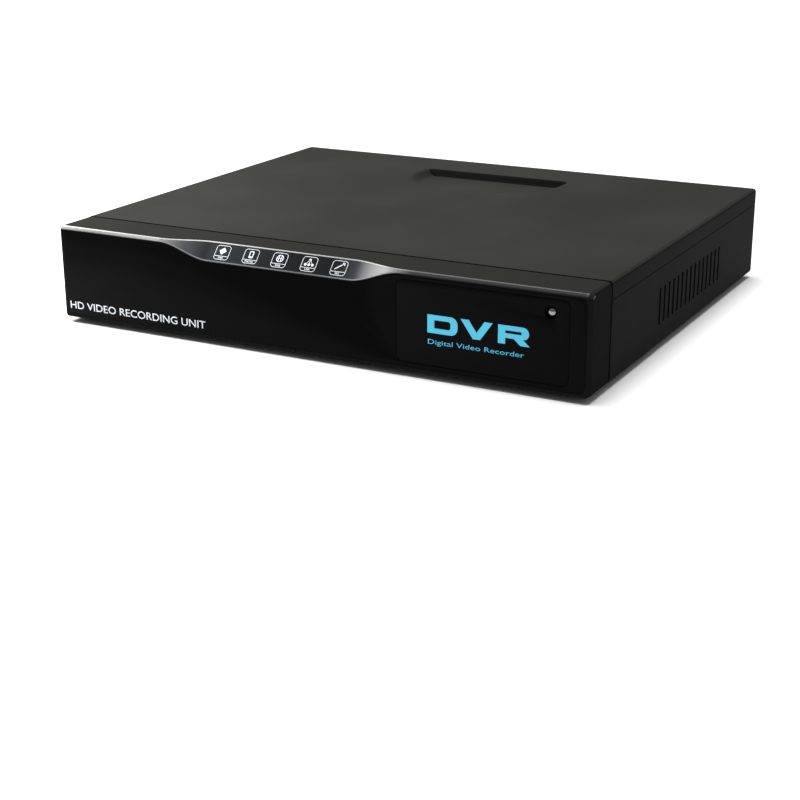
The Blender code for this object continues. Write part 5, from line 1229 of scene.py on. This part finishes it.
def flat_letter(*loops):
    """A flat letter, in mm, from the corners of its outline and of its hole."""
    curve = bpy.data.curves.new("letter", "CURVE")
    curve.dimensions, curve.fill_mode = "2D", "BOTH"
    for loop in loops:
        points = softened(loop)
        line = curve.splines.new("POLY")
        line.points.add(len(points) - 1)
        line.use_cyclic_u = True
        for point, at in zip(line.points, points):
            point.co = (at.x, at.y, 0, 1)
    piece = bpy.data.objects.new("letter", curve)
    bpy.context.scene.collection.objects.link(piece)
    bpy.ops.object.select_all(action="DESELECT")
    piece.select_set(True)
    bpy.context.view_layer.objects.active = piece
    bpy.ops.object.convert(target="MESH")
    return bpy.context.object


LETTER_D = (((0, 0, 0), (0, 7.6, 0), (13.4, 7.6, 3.0), (13.4, 0, 3.0)),
            ((3.1, 2.1, 0), (3.1, 5.5, 0), (10.3, 5.5, 1.1), (10.3, 2.1, 1.1)))
LETTER_V = (((0, 7.6, 0), (3.6, 7.6, 0), (7.0, 2.7, 0), (10.4, 7.6, 0), (14.0, 7.6, 0), (8.6, 0, 0),
             (5.4, 0, 0)),)
LETTER_R = (((0, 0, 0), (0, 7.6, 0), (13.2, 7.6, 2.6), (13.2, 2.6, 2.2), (10.6, 2.6, 0), (13.6, 0, 0),
             (9.6, 0, 0), (6.7, 2.5, 0), (3.1, 2.5, 0), (3.1, 0, 0)),
            ((3.1, 4.4, 0), (3.1, 5.6, 0), (10.1, 5.6, 0.5), (10.1, 4.4, 0.5)))
device = []
for letter, left in ((LETTER_D, 57.9), (LETTER_V, 72.6), (LETTER_R, 88.9)):
    drawn = flat_letter(*letter)
    drawn.data.transform(Matrix.Translation((left, 20.2, 0)))
    device.append(drawn)
device.append(flat_text("Digital Video Recorder", 79.0, 16.6, 2.0, 42.0, bold=-0.012))
device = printed("front_device_name", device, front_way, 0.05)
finish(device, ink("blue_screen_ink", "#4cc5e6", 0.4))
tie(device, "recorder", "blue_plastic")

# ---- Receiver lens -----------------------------------------------------------------------------
# A small dome of dark red-tinted acrylic, which passes the remote control's infrared light. It
# is polished, so lights and the pale floor show in it as small bright glints.
dome = [(LENS_R * math.sin(math.radians(a)), LENS_R * (1 - math.cos(math.radians(a))))
        for a in range(0, 91, 6)]
lens = turned("receiver_dome", [*dome, (LENS_R, 5.0), (0, 5.0)], LENS_AT, 40)
tinted, tree, shader, place = material("infrared_acrylic", Roughness=0.06, IOR=2.3, Coat_Weight=1.0,
                                       Coat_Roughness=0.03, Coat_IOR=2.0)
haze = node(tree, "TexNoise", {"Vector": place, "Scale": 1 / (2 * MM), "Detail": 1.0})
tone = node(tree, "ValToRGB", {"Fac": haze.outputs["Fac"]})
tone.color_ramp.elements[0].color, tone.color_ramp.elements[1].color = rgb("#0a0708"), rgb("#120c0e")
tree.links.new(tone.outputs["Color"], shader.inputs["Base Color"])
finish(lens, tinted)
tie(lens, "recorder", "clear_lens", "receiver_lens")

bpy.ops.object.select_all(action="DESELECT")
